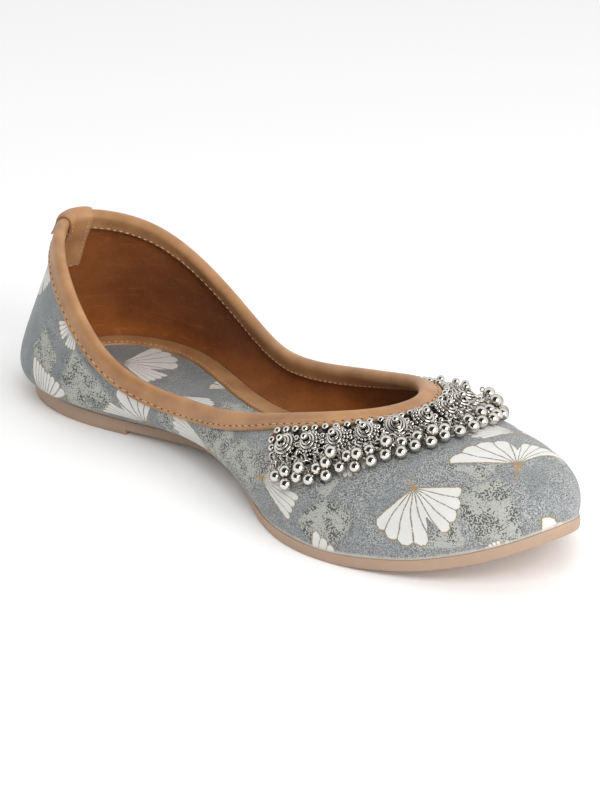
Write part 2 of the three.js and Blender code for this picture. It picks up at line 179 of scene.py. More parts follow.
class SoleProfile:
    """A smooth height along the shoe through one column of the sole's table."""

    def __init__(self, column: int) -> None:
        """Work out slopes that keep level stretches level.

        Args:
            column: The table's column, 1 for the underside and 2 for the thickness.
        """
        self.at = [row[0] for row in SOLE]
        self.values = [row[column] for row in SOLE]
        end = len(SOLE) - 1
        rise = [
            (self.values[i + 1] - self.values[i]) / (self.at[i + 1] - self.at[i])
            for i in range(end)
        ]
        self.slope = [0.0] * (end + 1)
        for i in range(1, end):
            if rise[i - 1] * rise[i] > 0:
                self.slope[i] = 2 * rise[i - 1] * rise[i] / (rise[i - 1] + rise[i])
        self.slope[end] = 2 * rise[end - 1] - self.slope[end - 1]

    def height(self, share: float) -> float:
        """Give the height at a share of the length."""
        at = min(max(share, 0.0), 1.0)
        i = min(max(k for k, start in enumerate(self.at) if start <= at), len(self.at) - 2)
        span = self.at[i + 1] - self.at[i]
        ends, slopes = self.values[i : i + 2], self.slope[i : i + 2]
        return hermite(tuple(ends), tuple(slopes), span, (at - self.at[i]) / span)


class Last:
    """The straight last: loop 0 is the heel's middle and 0.5 the toe's, the right side first."""

    LENGTH = 245.0
    BALL_HALF = 45.0
    COLLAR_BACK = 60.0
    WALL = 1.8
    LEATHER = 0.9
    GAP = 0.3
    ROLL = WALL / 2 + GAP + LEATHER
    SIDED = ("half", "line_half")
    NUDGE = 1e-3
    STEPS = 48

    def __init__(self) -> None:
        """Lay closed curves through the sections of both sides."""
        rows = [*SECTIONS, *reversed(SECTIONS[1:-1])]
        sides = [-1.0] * len(SECTIONS) + [1.0] * (len(SECTIONS) - 2)
        feet = [self.in_plan(row.at, row.half * side) for row, side in zip(rows, sides)]
        steps = [(feet[(i + 1) % len(feet)] - foot).length for i, foot in enumerate(feet)]
        knots = [sum(steps[:i]) / sum(steps) for i in range(len(steps))]
        self.curves: dict[str, ClosedSpline] = {}
        for column in Section.__dataclass_fields__:
            signs = sides if column in self.SIDED else [1.0] * len(rows)
            values = [getattr(row, column) * sign for row, sign in zip(rows, signs)]
            self.curves[column] = ClosedSpline(knots, values)
        self.under, self.thick = SoleProfile(1), SoleProfile(2)

    def in_plan(self, at: float, half: float) -> Vector:
        """Give a point seen from above, from shares of the length and of the ball's half width."""
        return Vector(((at - 0.5) * self.LENGTH, half * self.BALL_HALF, 0.0))

    def foot(self, loop: float) -> Vector:
        """Give the section's foot seen from above."""
        return self.in_plan(self.curves["at"].at(loop), self.curves["half"].at(loop))

    def line(self, loop: float) -> Vector:
        """Give the section's top, on the collar, seen from above."""
        return self.in_plan(self.curves["line_at"].at(loop), self.curves["line_half"].at(loop))

    def leaf(self, loop: float) -> float:
        """Give the width of the binding's outside leaf."""
        return self.curves["leaf"].at(loop)

    def sole_under(self, x: float) -> float:
        """Give the height of the sole's underside."""
        return self.under.height(x / self.LENGTH + 0.5)

    def sole_top(self, x: float) -> float:
        """Give the height of the sole's top."""
        return self.sole_under(x) + self.thick.height(x / self.LENGTH + 0.5)

    def outward(self, curve: Place, loop: float) -> Vector:
        """Give the outward direction, seen from above, of a closed curve round the shoe."""
        along = (curve(loop + self.NUDGE) - curve(loop - self.NUDGE)).normalized()
        return Vector((along.y, -along.x, 0.0))

    @cache
    def rib(self, loop: float) -> tuple[Vector, Vector, Vector, Vector]:
        """Give the four points of a section's curve, from the sole's edge to the collar."""
        value = {name: curve.at(loop) for name, curve in self.curves.items()}
        low, high = self.foot(loop), self.line(loop)
        low.z = self.sole_top(low.x) + self.GAP
        high.z = value["line_up"] * self.COLLAR_BACK - self.ROLL
        low_handle = low + self.outward(self.foot, loop) * value["foot_out"]
        low_handle.z += value["foot_up"]
        high_handle = high + self.outward(self.line, loop) * value["line_out"]
        high_handle.z -= value["line_down"]
        return low, low_handle, high_handle, high

    def point(self, loop: float, share: float) -> Vector:
        """Give a point of the upper's outside."""
        a, b, c, d = self.rib(loop)
        t, u = share, 1 - share
        return a * u**3 + b * (3 * u * u * t) + c * (3 * u * t * t) + d * t**3

    def climb(self, loop: float, share: float) -> Vector:
        """Give the direction up the section."""
        a, b, c, d = self.rib(loop)
        t, u = share, 1 - share
        return ((b - a) * u * u + (c - b) * (2 * u * t) + (d - c) * t * t).normalized()

    def normal(self, loop: float, share: float) -> Vector:
        """Give the outward normal of the upper."""
        along = self.point(loop + self.NUDGE, share) - self.point(loop - self.NUDGE, share)
        return along.cross(self.climb(loop, share)).normalized()

    def skin(self, loop: float, share: float, offset: float = 0.0) -> Vector:
        """Give a point of the upper's outside moved out along the normal."""
        return self.point(loop, share) + self.normal(loop, share) * offset

    @cache
    def lengths(self, loop: float) -> list[float]:
        """Give the length travelled up a section at even steps."""
        points = [self.point(loop, i / self.STEPS) for i in range(self.STEPS + 1)]
        travelled = [0.0]
        for before, after in zip(points, points[1:]):
            travelled.append(travelled[-1] + (after - before).length)
        return travelled

    def share_below(self, loop: float, distance: float) -> float:
        """Give the share of a section that lies a distance below the collar, along the section."""
        travelled = self.lengths(loop)
        goal = max(travelled[-1] - distance, 0.0)
        i = min(max(k for k, length in enumerate(travelled) if length <= goal), self.STEPS - 1)
        return (i + (goal - travelled[i]) / (travelled[i + 1] - travelled[i])) / self.STEPS

    def below(self, loop: float, distance: float, offset: float = 0.0) -> Vector:
        """Give a point a distance below the collar, moved out along the normal."""
        return self.skin(loop, self.share_below(loop, distance), offset)

    def roll(self, loop: float, turn: float, radius: float) -> Vector:
        """Give a point of a roll over the collar's edge, turned from outside over the top."""
        reach = self.normal(loop, 1.0) * math.cos(turn) + self.climb(loop, 1.0) * math.sin(turn)
        return self.skin(loop, 1.0, -self.WALL / 2) + reach * radius

    def footbed(self, loop: float, height: float, inset: float) -> Vector:
        """Give a point on the footbed's edge, or in from it, at a height above the sole's top."""
        inward = self.outward(self.foot, loop) * (2 * self.GAP + inset)
        point = self.skin(loop, 0.0, -self.WALL) - inward
        point.z = self.sole_top(self.foot(loop).x) + self.GAP + height
        return point

    def frame_at(self, loop: float, distance: float, offset: float) -> Matrix:
        """Give axes on the upper below the collar: X along it, Y up it and Z out of it."""
        share = self.share_below(loop, distance)
        out, up = self.normal(loop, share), self.climb(loop, share)
        turn = Matrix((up.cross(out), up, out)).transposed().to_4x4()
        return Matrix.Translation(self.skin(loop, share, offset)) @ turn


def even_loops(last: Last, count: int, turn_weight: float = 30.0) -> list[float]:
    """Spread loop positions round the shoe, closer together where the sole's edge turns more.

    Args:
        last: The shoe's last.
        count: How many steps to take round the shoe; an even number.
        turn_weight: Millimetres of straight edge that a radian of turn counts for.

    Returns:
        The loop positions from 0 to 1, both ends among them.
    """
    samples, travelled = 600, [0.0]
    for i in range(samples):
        here, there = 0.5 * i / samples, 0.5 * (i + 1) / samples
        turn = last.outward(last.foot, here).angle(last.outward(last.foot, there))
        length = (last.foot(there) - last.foot(here)).length
        travelled.append(travelled[-1] + length + turn_weight * turn)
    right, i = [0.0], 0
    for step in range(1, count // 2):
        goal = travelled[-1] * step / (count // 2)
        while travelled[i + 1] < goal:
            i += 1
        share = (goal - travelled[i]) / (travelled[i + 1] - travelled[i])
        right.append(0.5 * (i + share) / samples)
    return [*right, 0.5, *(1 - loop for loop in reversed(right))]


# Meshes


def wrap(
    bm: BMesh, columns: Sequence[float], rows: Sequence[Place], paint: Sequence[int] = ()
) -> None:
    """Lay a grid over a form: a column for each position along it and a row for each place across.

    Args:
        bm: The mesh to add to.
        columns: Positions along the form.
        rows: For each row, what gives its point at a position.
        paint: The material's number for each strip between two rows; all are 0 when it is empty.
    """
    across, along = len(columns) - 1, len(rows) - 1
    made = bmesh.ops.create_grid(bm, x_segments=across, y_segments=along, size=0.5)
    if paint:
        for face in {face for vert in made["verts"] for face in vert.link_faces}:
            face.material_index = paint[int((face.calc_center_median().y + 0.5) * along)]
    for vert in made["verts"]:
        column, row = round((vert.co.x + 0.5) * across), round((vert.co.y + 0.5) * along)
        vert.co = rows[row](columns[column])


def lay_strip(
    bm: BMesh, columns: Sequence[float], face: Sequence[Place], back: Sequence[Place]
) -> None:
    """Lay a closed strip over a form, with its edges and ends filled in.

    Args:
        bm: The mesh, which holds nothing else.
        columns: Positions along the rows.
        face: The rows of its face.
        back: The same rows on its underside.
    """
    wrap(bm, columns, [back[0], *face, *reversed(back)])
    bmesh.ops.remove_doubles(bm, verts=bm.verts, dist=MERGE_MM)
    bmesh.ops.holes_fill(bm, edges=[edge for edge in bm.edges if edge.is_boundary])


def stamp(bm: BMesh, shape: Mesh, place: Matrix, material: int = 0) -> None:
    """Add a placed copy of a shape, with the number of the material it takes."""
    start = len(bm.faces)
    bm.from_mesh(shape)
    bm.faces.ensure_lookup_table()
    faces = bm.faces[start:]
    verts = {vert for face in faces for vert in face.verts}
    bmesh.ops.transform(bm, matrix=place, verts=list(verts))
    for face in faces:
        face.material_index = material


def keep(name: str, bm: BMesh) -> Mesh:
    """Keep a mesh under a name; the editing mesh is used up."""
    mesh = bpy.data.meshes.new(name)
    bm.to_mesh(mesh)
    bm.free()
    return mesh


def show(name: str, data: ID) -> Object:
    """Put a mesh, a lamp or a camera in the scene."""
    thing = bpy.data.objects.new(name, data)
    bpy.context.scene.collection.objects.link(thing)
    return thing


def to_shape(name: str, bm: BMesh) -> Mesh:
    """Keep a mesh as a shape to stamp, closed and facing outwards."""
    bmesh.ops.remove_doubles(bm, verts=bm.verts, dist=MERGE_MM)
    bmesh.ops.recalc_face_normals(bm, faces=bm.faces)
    return keep(name, bm)


def spun(name: str, bm: BMesh, steps: int) -> Mesh:
    """Spin a mesh of edges a full turn round Z, and keep the shape."""
    geom = [*bm.verts, *bm.edges]
    bmesh.ops.spin(
        bm, geom=geom, cent=(0, 0, 0), axis=(0, 0, 1), angle=math.tau, steps=steps, use_merge=True
    )
    return to_shape(name, bm)


def turned(name: str, profile: Sequence[tuple[float, float]], steps: int) -> Mesh:
    """Turn a shape from a profile of radii and heights."""
    bm = bmesh.new()
    verts = [bm.verts.new((radius, 0.0, height)) for radius, height in profile]
    for pair in zip(verts, verts[1:]):
        bm.edges.new(pair)
    return spun(name, bm, steps)


def wire_ring(name: str, radius: float, wire: float, steps: int) -> Mesh:
    """Bend a round wire, of a radius of its own, to a closed ring in the XY plane."""
    bm = bmesh.new()
    stand = Matrix.Translation((radius, 0, 0)) @ Matrix.Rotation(math.radians(90), 4, "X")
    bmesh.ops.create_circle(bm, segments=8, radius=wire, matrix=stand)
    return spun(name, bm, steps)


def ball(name: str, radius: float, around: int, along: int) -> Mesh:
    """Make a ball to stamp, with so many faces round it and from pole to pole."""
    bm = bmesh.new()
    bmesh.ops.create_uvsphere(bm, u_segments=around, v_segments=along, radius=radius)
    return to_shape(name, bm)


def along_path(point: Vector, ahead: Vector, normal: Vector) -> Matrix:
    """Give axes at a point of a path: X ahead, Z along the normal."""
    z = (normal - ahead * normal.dot(ahead)).normalized()
    return Matrix.Translation(point) @ Matrix((ahead, z.cross(ahead), z)).transposed().to_4x4()


@dataclass(frozen=True)
class Seam:
    """A row of uneven stitches: their length, pitch and width, and where in a pitch they start."""

    length: float
    pitch: float
    width: float
    start: float = 0.5
    uneven: tuple[float, float] = (0.75, 1.15)
    stray: float = 0.07
    slant: float = 0.12
    seed: int = 5

    def sew(self, bm: BMesh, path: Sequence[tuple[Vector, Vector]], material: int = 0) -> int:
        """Set stitches along a path.

        Args:
            bm: The mesh to add to.
            path: Close points of the path, each with the surface's normal there.
            material: The number of the thread's material.

        Returns:
            How many stitches were set.
        """
        shape, rng = ball("stitch", 0.5, 6, 4), random.Random(self.seed)
        travelled, due, count = 0.0, self.pitch * self.start, 0
        for (here, normal), (there, _) in zip(path, path[1:]):
            step = there - here
            while step.length > 0 and travelled + step.length >= due:
                spot = here + step * ((due - travelled) / step.length)
                length = self.length * rng.uniform(*self.uneven)
                size = Matrix.Diagonal((length, self.width, self.width, 1.0))
                turn = Matrix.Translation((0, rng.gauss(0, self.stray), 0))
                turn = turn @ Matrix.Rotation(rng.gauss(0, self.slant), 4, "Z")
                frame = along_path(spot, step.normalized(), normal)
                stamp(bm, shape, frame @ turn @ size, material)
                due += self.pitch
                count += 1
            travelled += step.length
        bpy.data.meshes.remove(shape)
        return count


def finish_piece(
    name: str,
    bm: BMesh,
    finishes: Sequence["Finish"],
    nodes: Sequence[str] = (),
    sharp_deg: float = 45.0,
) -> Object:
    """Close a mesh, bring it to metres and hand it to the frame.

    Args:
        name: The piece's name.
        bm: Its mesh in millimetres; it is used up.
        finishes: Its finishes, in the order of the faces' material numbers.
        nodes: The CAD nodes that it stands for.
        sharp_deg: Edges that turn more than this stay sharp.

    Returns:
        The piece.
    """
    bmesh.ops.remove_doubles(bm, verts=bm.verts, dist=MERGE_MM)
    bmesh.ops.dissolve_degenerate(bm, dist=MERGE_MM / 10, edges=bm.edges)
    bmesh.ops.recalc_face_normals(bm, faces=bm.faces)
    for edge in bm.edges:
        edge.smooth = edge.calc_face_angle(0.0) < math.radians(sharp_deg)
    for face in bm.faces:
        face.smooth = True
    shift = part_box("outsole")[0][0] / MM + Last.LENGTH / 2 + Outsole.LIP
    to_metres = Matrix.Scale(MM, 4) @ Matrix.Translation((shift, 0, 0))
    bmesh.ops.transform(bm, matrix=to_metres, verts=bm.verts)
    mesh = keep(name, bm)
    for finish in finishes:
        mesh.materials.append(finish.material())
    piece = show(name, mesh)
    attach(piece, "root")
    if nodes:
        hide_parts(*nodes)
    LOG.info("%s: %d faces", name, len(mesh.polygons))
    return piece


# Finishes


def linear(colour: str) -> tuple[float, float, float, float]:
    """Turn an sRGB hex colour to linear light."""
    parts = [int(colour[i : i + 2], 16) / 255 for i in (1, 3, 5)]
    return (*(c / 12.92 if c <= 0.04045 else ((c + 0.055) / 1.055) ** 2.4 for c in parts), 1.0)


class Kind(Enum):
    """The kinds of node in use, each a type of node with its settings."""

    ADD = ("ShaderNodeMath", {"operation": "ADD"})
    SUBTRACT = ("ShaderNodeMath", {"operation": "SUBTRACT"})
    MULTIPLY = ("ShaderNodeMath", {"operation": "MULTIPLY"})
    MULTIPLY_ADD = ("ShaderNodeMath", {"operation": "MULTIPLY_ADD"})
    MINIMUM = ("ShaderNodeMath", {"operation": "MINIMUM"})
    MAXIMUM = ("ShaderNodeMath", {"operation": "MAXIMUM"})
    ABSOLUTE = ("ShaderNodeMath", {"operation": "ABSOLUTE"})
    ARCTAN2 = ("ShaderNodeMath", {"operation": "ARCTAN2"})
    PINGPONG = ("ShaderNodeMath", {"operation": "PINGPONG"})
    LENGTH = ("ShaderNodeVectorMath", {"operation": "LENGTH"})
    DOT = ("ShaderNodeVectorMath", {"operation": "DOT_PRODUCT"})
    PARTS = ("ShaderNodeSeparateXYZ", {})
    MIX = ("ShaderNodeMix", {"data_type": "RGBA"})
    RANGE = ("ShaderNodeMapRange", {})
    SMOOTH_RANGE = ("ShaderNodeMapRange", {"interpolation_type": "SMOOTHSTEP"})
    WHERE = ("ShaderNodeTexCoord", {})
    CHART = ("ShaderNodeUVMap", {})
    STRETCH = ("ShaderNodeMapping", {})
    NOISE = ("ShaderNodeTexNoise", {})
    CELLS = ("ShaderNodeTexVoronoi", {"feature": "SMOOTH_F1"})
    WAVE = ("ShaderNodeTexWave", {})
    BUMP = ("ShaderNodeBump", {})
    HOLLOWS = ("ShaderNodeAmbientOcclusion", {"samples": 8})


def feed(tree: NodeTree, entry: NodeSocket, value: Any) -> None:
    """Set an input to a value or hex colour, or link it to a socket or a node's open output."""
    if isinstance(value, Node):
        value = next(output for output in value.outputs if output.enabled)
    if isinstance(value, NodeSocket):
        tree.links.new(value, entry)
    else:
        entry.default_value = linear(value) if isinstance(value, str) else value


def add(tree: NodeTree, kind: Kind, *values: Any, **named: Any) -> Node:
    """Add a node.

    Args:
        tree: The nodes that it joins.
        kind: The kind of node.
        values: What its open inputs take, in turn: a value, a hex colour, a node or a socket.
        named: What others of its inputs and settings take, by name.

    Returns:
        The node.
    """
    name, settings = kind.value
    node = tree.nodes.new(name)
    inputs = [(node.inputs[key], value) for key, value in named.items() if key in node.inputs]
    for key, value in {**settings, **named}.items():
        if key not in node.inputs:
            setattr(node, key, value)
    entries = [entry for entry in node.inputs if entry.enabled]
    for entry, value in [*zip(entries, values), *inputs]:
        feed(tree, entry, value)
    return node


def relief(tree: NodeTree, pattern: Node, strength: float, depth_mm: float) -> Node:
    """Raise a surface where a pattern is high."""
    return add(tree, Kind.BUMP, Height=pattern, Strength=strength, Distance=depth_mm * MM)


@dataclass(frozen=True)
class Finish:
    """What a surface is made of; each kind draws its own nodes."""

    title: str

    def draw(self, tree: NodeTree, where: NodeSocket) -> dict[str, Any]:
        """Draw the finish's nodes from the place on the part, and give its shader's inputs."""
        raise NotImplementedError

    @cache
    def material(self) -> Material:
        """Give the finish's material, drawn once."""
        material = bpy.data.materials.new(self.title)
        material.use_nodes = True
        tree = material.node_tree
        shader = tree.nodes["Principled BSDF"]
        for name, value in self.draw(tree, add(tree, Kind.WHERE).outputs["Object"]).items():
            feed(tree, shader.inputs[name], value)
        return material


@dataclass(frozen=True)
class PrintedCloth(Finish):
    """Cotton printed with fan leaves: dull grey ground, crisp white leaves, fine speckle."""

    title: str = "printed_cotton"
    ground_dark: str = "#5e6163"
    ground_light: str = "#b5b6b4"
    slate: str = "#7f8486"
    pale: str = "#b3b4ab"
    fleck: str = "#404345"
    leaf: str = "#e2e2df"
    leaf_shade: str = "#d4d3ce"
    ink: str = "#8f7c50"
    vein: str = "#75674d"
    stem: str = "#ab8653"
    # Tone of the pale, uneven band along the cloth's lower edge.
    raw: str = "#c3beb6"
    edge_mm: float = 10.0
    speckle_mm: float = 0.42
    fleck_mm: float = 0.52
    cluster_mm: float = 5.0
    cloud_mm: float = 13.0
    petals: int = 9
    stem_mm: float = 7.0
    stem_bend: float = 0.018
    ink_mm: tuple[float, float] = (0.14, 0.32)
    vein_mm: tuple[float, float] = (0.09, 0.24)
    hub_mm: tuple[float, float] = (0.5, 1.2)
    plain_mm: tuple[float, float] = (-100.0, -20.0)
    speckles: tuple[float, float] = (0.4, 0.6)
    washes: tuple[float, ...] = (0.42, 0.56, 0.05, 0.45)
    wavers: tuple[tuple[str, float], ...] = (("cloud", 0.4), ("bunch", 0.25), ("dab", 0.12))
    bunches: tuple[float, ...] = (0.36, 0.62, -0.13, 0.05)
    flecks: tuple[float, float] = (0.51, 0.56)
    fleck_fade: tuple[float, ...] = (-0.16, 0.03, 0.22, 0.95)
    notch: tuple[float, float] = (0.015, 0.13)
    lobe: float = 0.945
    stray: float = 0.2
    rag: float = 0.07
    worn: tuple[float, ...] = (0.34, 0.5, 0.35, 0.95)
    stem_half_mm: tuple[float, float] = (0.1, 0.42)
    low_band_patches: tuple[float, ...] = (0.42, 0.62, 0.4, 1.5)
    bump: float = 0.25
    bump_mm: float = 0.12
    rough: tuple[float, float] = (0.5, 0.66)
    sheen: float = 0.06

    def fan(self, tree: NodeTree, layer: str) -> tuple[NodeSocket, NodeSocket, Node, Node]:
        """Read a fan's own map, open along X from -1 to 1 radian, with its end at a radius of 1.

        Args:
            tree: The material's nodes.
            layer: The map's name.

        Returns:
            X, Y, the radius and the angle.
        """
        chart = add(tree, Kind.CHART, uv_map=layer)
        x, y, _ = add(tree, Kind.PARTS, chart).outputs
        return x, y, add(tree, Kind.LENGTH, chart), add(tree, Kind.ARCTAN2, y, x)

    def inner(self, tree: NodeTree, end: Any, radius: Node, wide: Node) -> Node:
        """Say how far inside a fan a point lies: before its end and between its sides."""
        rim = add(tree, Kind.SUBTRACT, end, radius)
        side = add(tree, Kind.MULTIPLY, add(tree, Kind.SUBTRACT, 1.0, wide), radius)
        return add(tree, Kind.MINIMUM, rim, side)

    def shades(self, tree: NodeTree, noises: dict[str, Any]) -> Node:
        """Draw the ground, calmer at the heel, and pale, crumbling shadow leaves with dark flecks.

        Args:
            tree: The material's nodes.
            noises: The noises, by name, and the place along the shoe.

        Returns:
            The colour.
        """
        grains = add(tree, Kind.RANGE, noises["speckle"], *self.speckles)
        ground = add(tree, Kind.MIX, grains, self.ground_dark, self.ground_light)
        wash = add(tree, Kind.RANGE, noises["cloud"], *self.washes)
        plain = add(tree, Kind.RANGE, noises["along"], *(x * MM for x in self.plain_mm), 0.6, 0.0)
        wash = add(tree, Kind.ADD, wash, plain, use_clamp=True)
        calm = add(tree, Kind.MIX, wash, ground, self.slate)
        _, _, radius, angle = self.fan(tree, "shade")
        inside = self.inner(tree, 1.0, radius, add(tree, Kind.ABSOLUTE, angle))
        for noise, reach in self.wavers:
            waver = add(tree, Kind.SUBTRACT, noises[noise], 0.5)
            inside = add(tree, Kind.MULTIPLY_ADD, waver, reach, inside)
        shade = add(tree, Kind.RANGE, inside, -0.09, 0.0)
        bunch = add(tree, Kind.RANGE, noises["bunch"], *self.bunches)
        dabs = add(tree, Kind.RANGE, add(tree, Kind.ADD, noises["dab"], bunch), *self.flecks)
        thick = add(tree, Kind.RANGE, inside, *self.fleck_fade)
        dabs = add(tree, Kind.MULTIPLY, dabs, thick)
        pale = add(tree, Kind.MIX, 0.2, self.pale, ground)
        colour = add(tree, Kind.MIX, shade, calm, pale)
        return add(tree, Kind.MIX, dabs, colour, self.fleck)

    def leaves(self, tree: NodeTree, noises: dict[str, Any], under: Node) -> Node:
        """Draw the white leaves: lobed and notched, with broken ink lines and a stem.

        Args:
            tree: The material's nodes.
            noises: The noises, by name.
            under: The colour they lie on.

        Returns:
            The colour.
        """
        x, y, radius, angle = self.fan(tree, "leaf")
        size, cleft, _ = add(tree, Kind.PARTS, add(tree, Kind.CHART, uv_map="leaf_mm")).outputs
        x_mm, y_mm, radius_mm = (add(tree, Kind.MULTIPLY, part, size) for part in (x, y, radius))
        wide = add(tree, Kind.ABSOLUTE, angle)
        # Outline
        notch = add(tree, Kind.RANGE, wide, *self.notch, cleft, 0.0)
        stray = add(tree, Kind.SUBTRACT, noises["cloud"], 0.5)
        turn = add(tree, Kind.ADD, add(tree, Kind.MULTIPLY_ADD, stray, self.stray, angle), 1.0)
        vein = add(tree, Kind.PINGPONG, turn, 1 / self.petals)
        lobe = add(tree, Kind.SMOOTH_RANGE, vein, 0.0, 0.75 / self.petals, self.lobe, 1.0)
        rag = add(tree, Kind.SUBTRACT, noises["dab"], 0.5)
        reach = add(tree, Kind.MULTIPLY_ADD, rag, self.rag, add(tree, Kind.SUBTRACT, lobe, notch))
        inside = add(tree, Kind.MULTIPLY, self.inner(tree, reach, radius, wide), size)
        fill = add(tree, Kind.RANGE, inside, -0.06, 0.1)
        # Ink lines
        worn = add(tree, Kind.RANGE, noises["dab"], *self.worn)
        edge = add(tree, Kind.RANGE, add(tree, Kind.ABSOLUTE, inside), *self.ink_mm, 1.0, 0.0)
        edge = add(tree, Kind.MULTIPLY, edge, worn)
        near = add(tree, Kind.MULTIPLY, vein, radius_mm)
        lines = add(tree, Kind.RANGE, near, *self.vein_mm, 1.0, 0.0)
        lines = add(tree, Kind.MULTIPLY, add(tree, Kind.MULTIPLY, lines, fill), worn)
        # Stem
        frayed = add(tree, Kind.MULTIPLY_ADD, rag, 2.0, radius_mm)
        hub = add(tree, Kind.RANGE, frayed, *self.hub_mm, 1.0, 0.0)
        bend = add(tree, Kind.MULTIPLY, x_mm, x_mm)
        aside = add(tree, Kind.ABSOLUTE, add(tree, Kind.MULTIPLY_ADD, bend, -self.stem_bend, y_mm))
        taper = add(tree, Kind.RANGE, x_mm, -self.stem_mm, 0.0, *self.stem_half_mm)
        stalk = add(tree, Kind.RANGE, add(tree, Kind.SUBTRACT, taper, aside), -0.08, 0.12)
        for stretch in ((-self.stem_mm, -self.stem_mm + 0.8), (0.0, 0.5, 1.0, 0.0)):
            stalk = add(tree, Kind.MULTIPLY, stalk, add(tree, Kind.RANGE, x_mm, *stretch))
        stalk = add(tree, Kind.MAXIMUM, stalk, hub)
        white = add(tree, Kind.MIX, noises["bunch"], self.leaf, self.leaf_shade)
        colour = add(tree, Kind.MIX, fill, under, white)
        for part, tone in ((lines, self.vein), (edge, self.ink), (stalk, self.stem)):
            colour = add(tree, Kind.MIX, part, colour, tone)
        return colour

    def pale_low_band(self, tree: NodeTree, noises: dict[str, Any], under: Node) -> Node:
        """Draw a pale, uneven band along the cloth's lower edge, where it meets the sole.

        Args:
            tree: The material's nodes.
            noises: The noises, by name.
            under: The colour it lies on.

        Returns:
            The colour.
        """
        near, _, _ = add(tree, Kind.PARTS, add(tree, Kind.CHART, uv_map="edge")).outputs
        patch = add(tree, Kind.RANGE, noises["cloud"], *self.low_band_patches)
        ragged = add(tree, Kind.MULTIPLY, noises["dab"], patch)
        rise = add(tree, Kind.MULTIPLY, add(tree, Kind.SUBTRACT, 1.0, near), self.edge_mm)
        pale = add(tree, Kind.RANGE, add(tree, Kind.SUBTRACT, ragged, rise), -0.7, -0.1, 0.0, 0.8)
        return add(tree, Kind.MIX, pale, under, self.raw)

    def draw(self, tree: NodeTree, where: NodeSocket) -> dict[str, Any]:
        """Draw the print in its layers, then the cloth's own grain."""
        noises = {"along": add(tree, Kind.PARTS, where).outputs["X"]}
        for name, size, detail in (
            ("speckle", self.speckle_mm, 1.0),
            ("dab", self.fleck_mm, 1.0),
            ("bunch", self.cluster_mm, 1.0),
            ("cloud", self.cloud_mm, 2.0),
        ):
            noises[name] = add(tree, Kind.NOISE, where, 1 / (size * MM), detail)
        colour = self.leaves(tree, noises, self.shades(tree, noises))
        return {
            "Base Color": self.pale_low_band(tree, noises, colour),
            "Normal": relief(tree, noises["dab"], self.bump, self.bump_mm),
            "Roughness": add(tree, Kind.RANGE, noises["cloud"], 0.0, 1.0, *self.rough),
            "Sheen Weight": self.sheen,
        }


@dataclass(frozen=True)
class TanLeather(Finish):
    """Smooth leather: warm tan with small cloudy changes, a fine grain and a soft shine."""

    title: str = "tan_leather"
    dark: str = "#9d7049"
    light: str = "#ba8c5f"
    cloud_mm: float = 9.0
    clouds: tuple[float, float] = (0.3, 0.7)
    grain_mm: float = 0.9
    bump: float = 0.22
    bump_mm: float = 0.1
    rough: tuple[float, float] = (0.36, 0.56)

    def draw(self, tree: NodeTree, where: NodeSocket) -> dict[str, Any]:
        """Draw clouded colour and grain."""
        cloud = add(tree, Kind.NOISE, where, 1 / (self.cloud_mm * MM), 5.0)
        blend = add(tree, Kind.RANGE, cloud, *self.clouds)
        cells = add(tree, Kind.CELLS, where, 1 / (self.grain_mm * MM))
        return {
            "Base Color": add(tree, Kind.MIX, blend, self.dark, self.light),
            "Normal": relief(tree, cells, self.bump, self.bump_mm),
            "Roughness": add(tree, Kind.RANGE, cloud, 0.0, 1.0, *self.rough),
        }


@dataclass(frozen=True)
class SuedeLining(Finish):
    """Brushed suede: deep brown nap that lies lighter and darker in patches, with no shine."""

    title: str = "brown_suede"
    dark: str = "#7b441b"
    light: str = "#9a5c2c"
    scuffed: str = "#b27942"
    patch_mm: float = 16.0
    patches: tuple[float, float] = (0.45, 0.85)
    scuff_mm: float = 14.0
    scuffs: tuple[float, ...] = (0.58, 0.76, 0.0, 0.4)
    scuff_turn: tuple[float, float, float] = (0.3, 0.5, 0.2)
    scuff_stretch: tuple[float, float, float] = (1.0, 1.0, 6.0)
    nap_mm: float = 0.7
    nap_share: float = 0.3
    bump: float = 0.5
    bump_mm: float = 0.2
    rough: float = 0.95
    sheen: float = 0.12
    shine: float = 0.2

    def draw(self, tree: NodeTree, where: NodeSocket) -> dict[str, Any]:
        """Draw brushed patches and nap."""
        patch = add(tree, Kind.NOISE, where, 1 / (self.patch_mm * MM), 6.0, 0.62)
        nap = add(tree, Kind.NOISE, where, 1 / (self.nap_mm * MM), 3.0)
        brushed = add(tree, Kind.MULTIPLY_ADD, nap, self.nap_share, patch)
        blend = add(tree, Kind.RANGE, brushed, *self.patches)
        colour = add(tree, Kind.MIX, blend, self.dark, self.light)
        drawn = add(tree, Kind.STRETCH, where, Rotation=self.scuff_turn, Scale=self.scuff_stretch)
        scuff = add(tree, Kind.NOISE, drawn, 1 / (self.scuff_mm * MM), 4.0, Distortion=1.6)
        scuff = add(tree, Kind.RANGE, scuff, *self.scuffs)
        return {
            "Base Color": add(tree, Kind.MIX, scuff, colour, self.scuffed),
            "Normal": relief(tree, nap, self.bump, self.bump_mm),
            "Roughness": self.rough,
            "Sheen Weight": self.sheen,
            "Specular IOR Level": self.shine,
        }


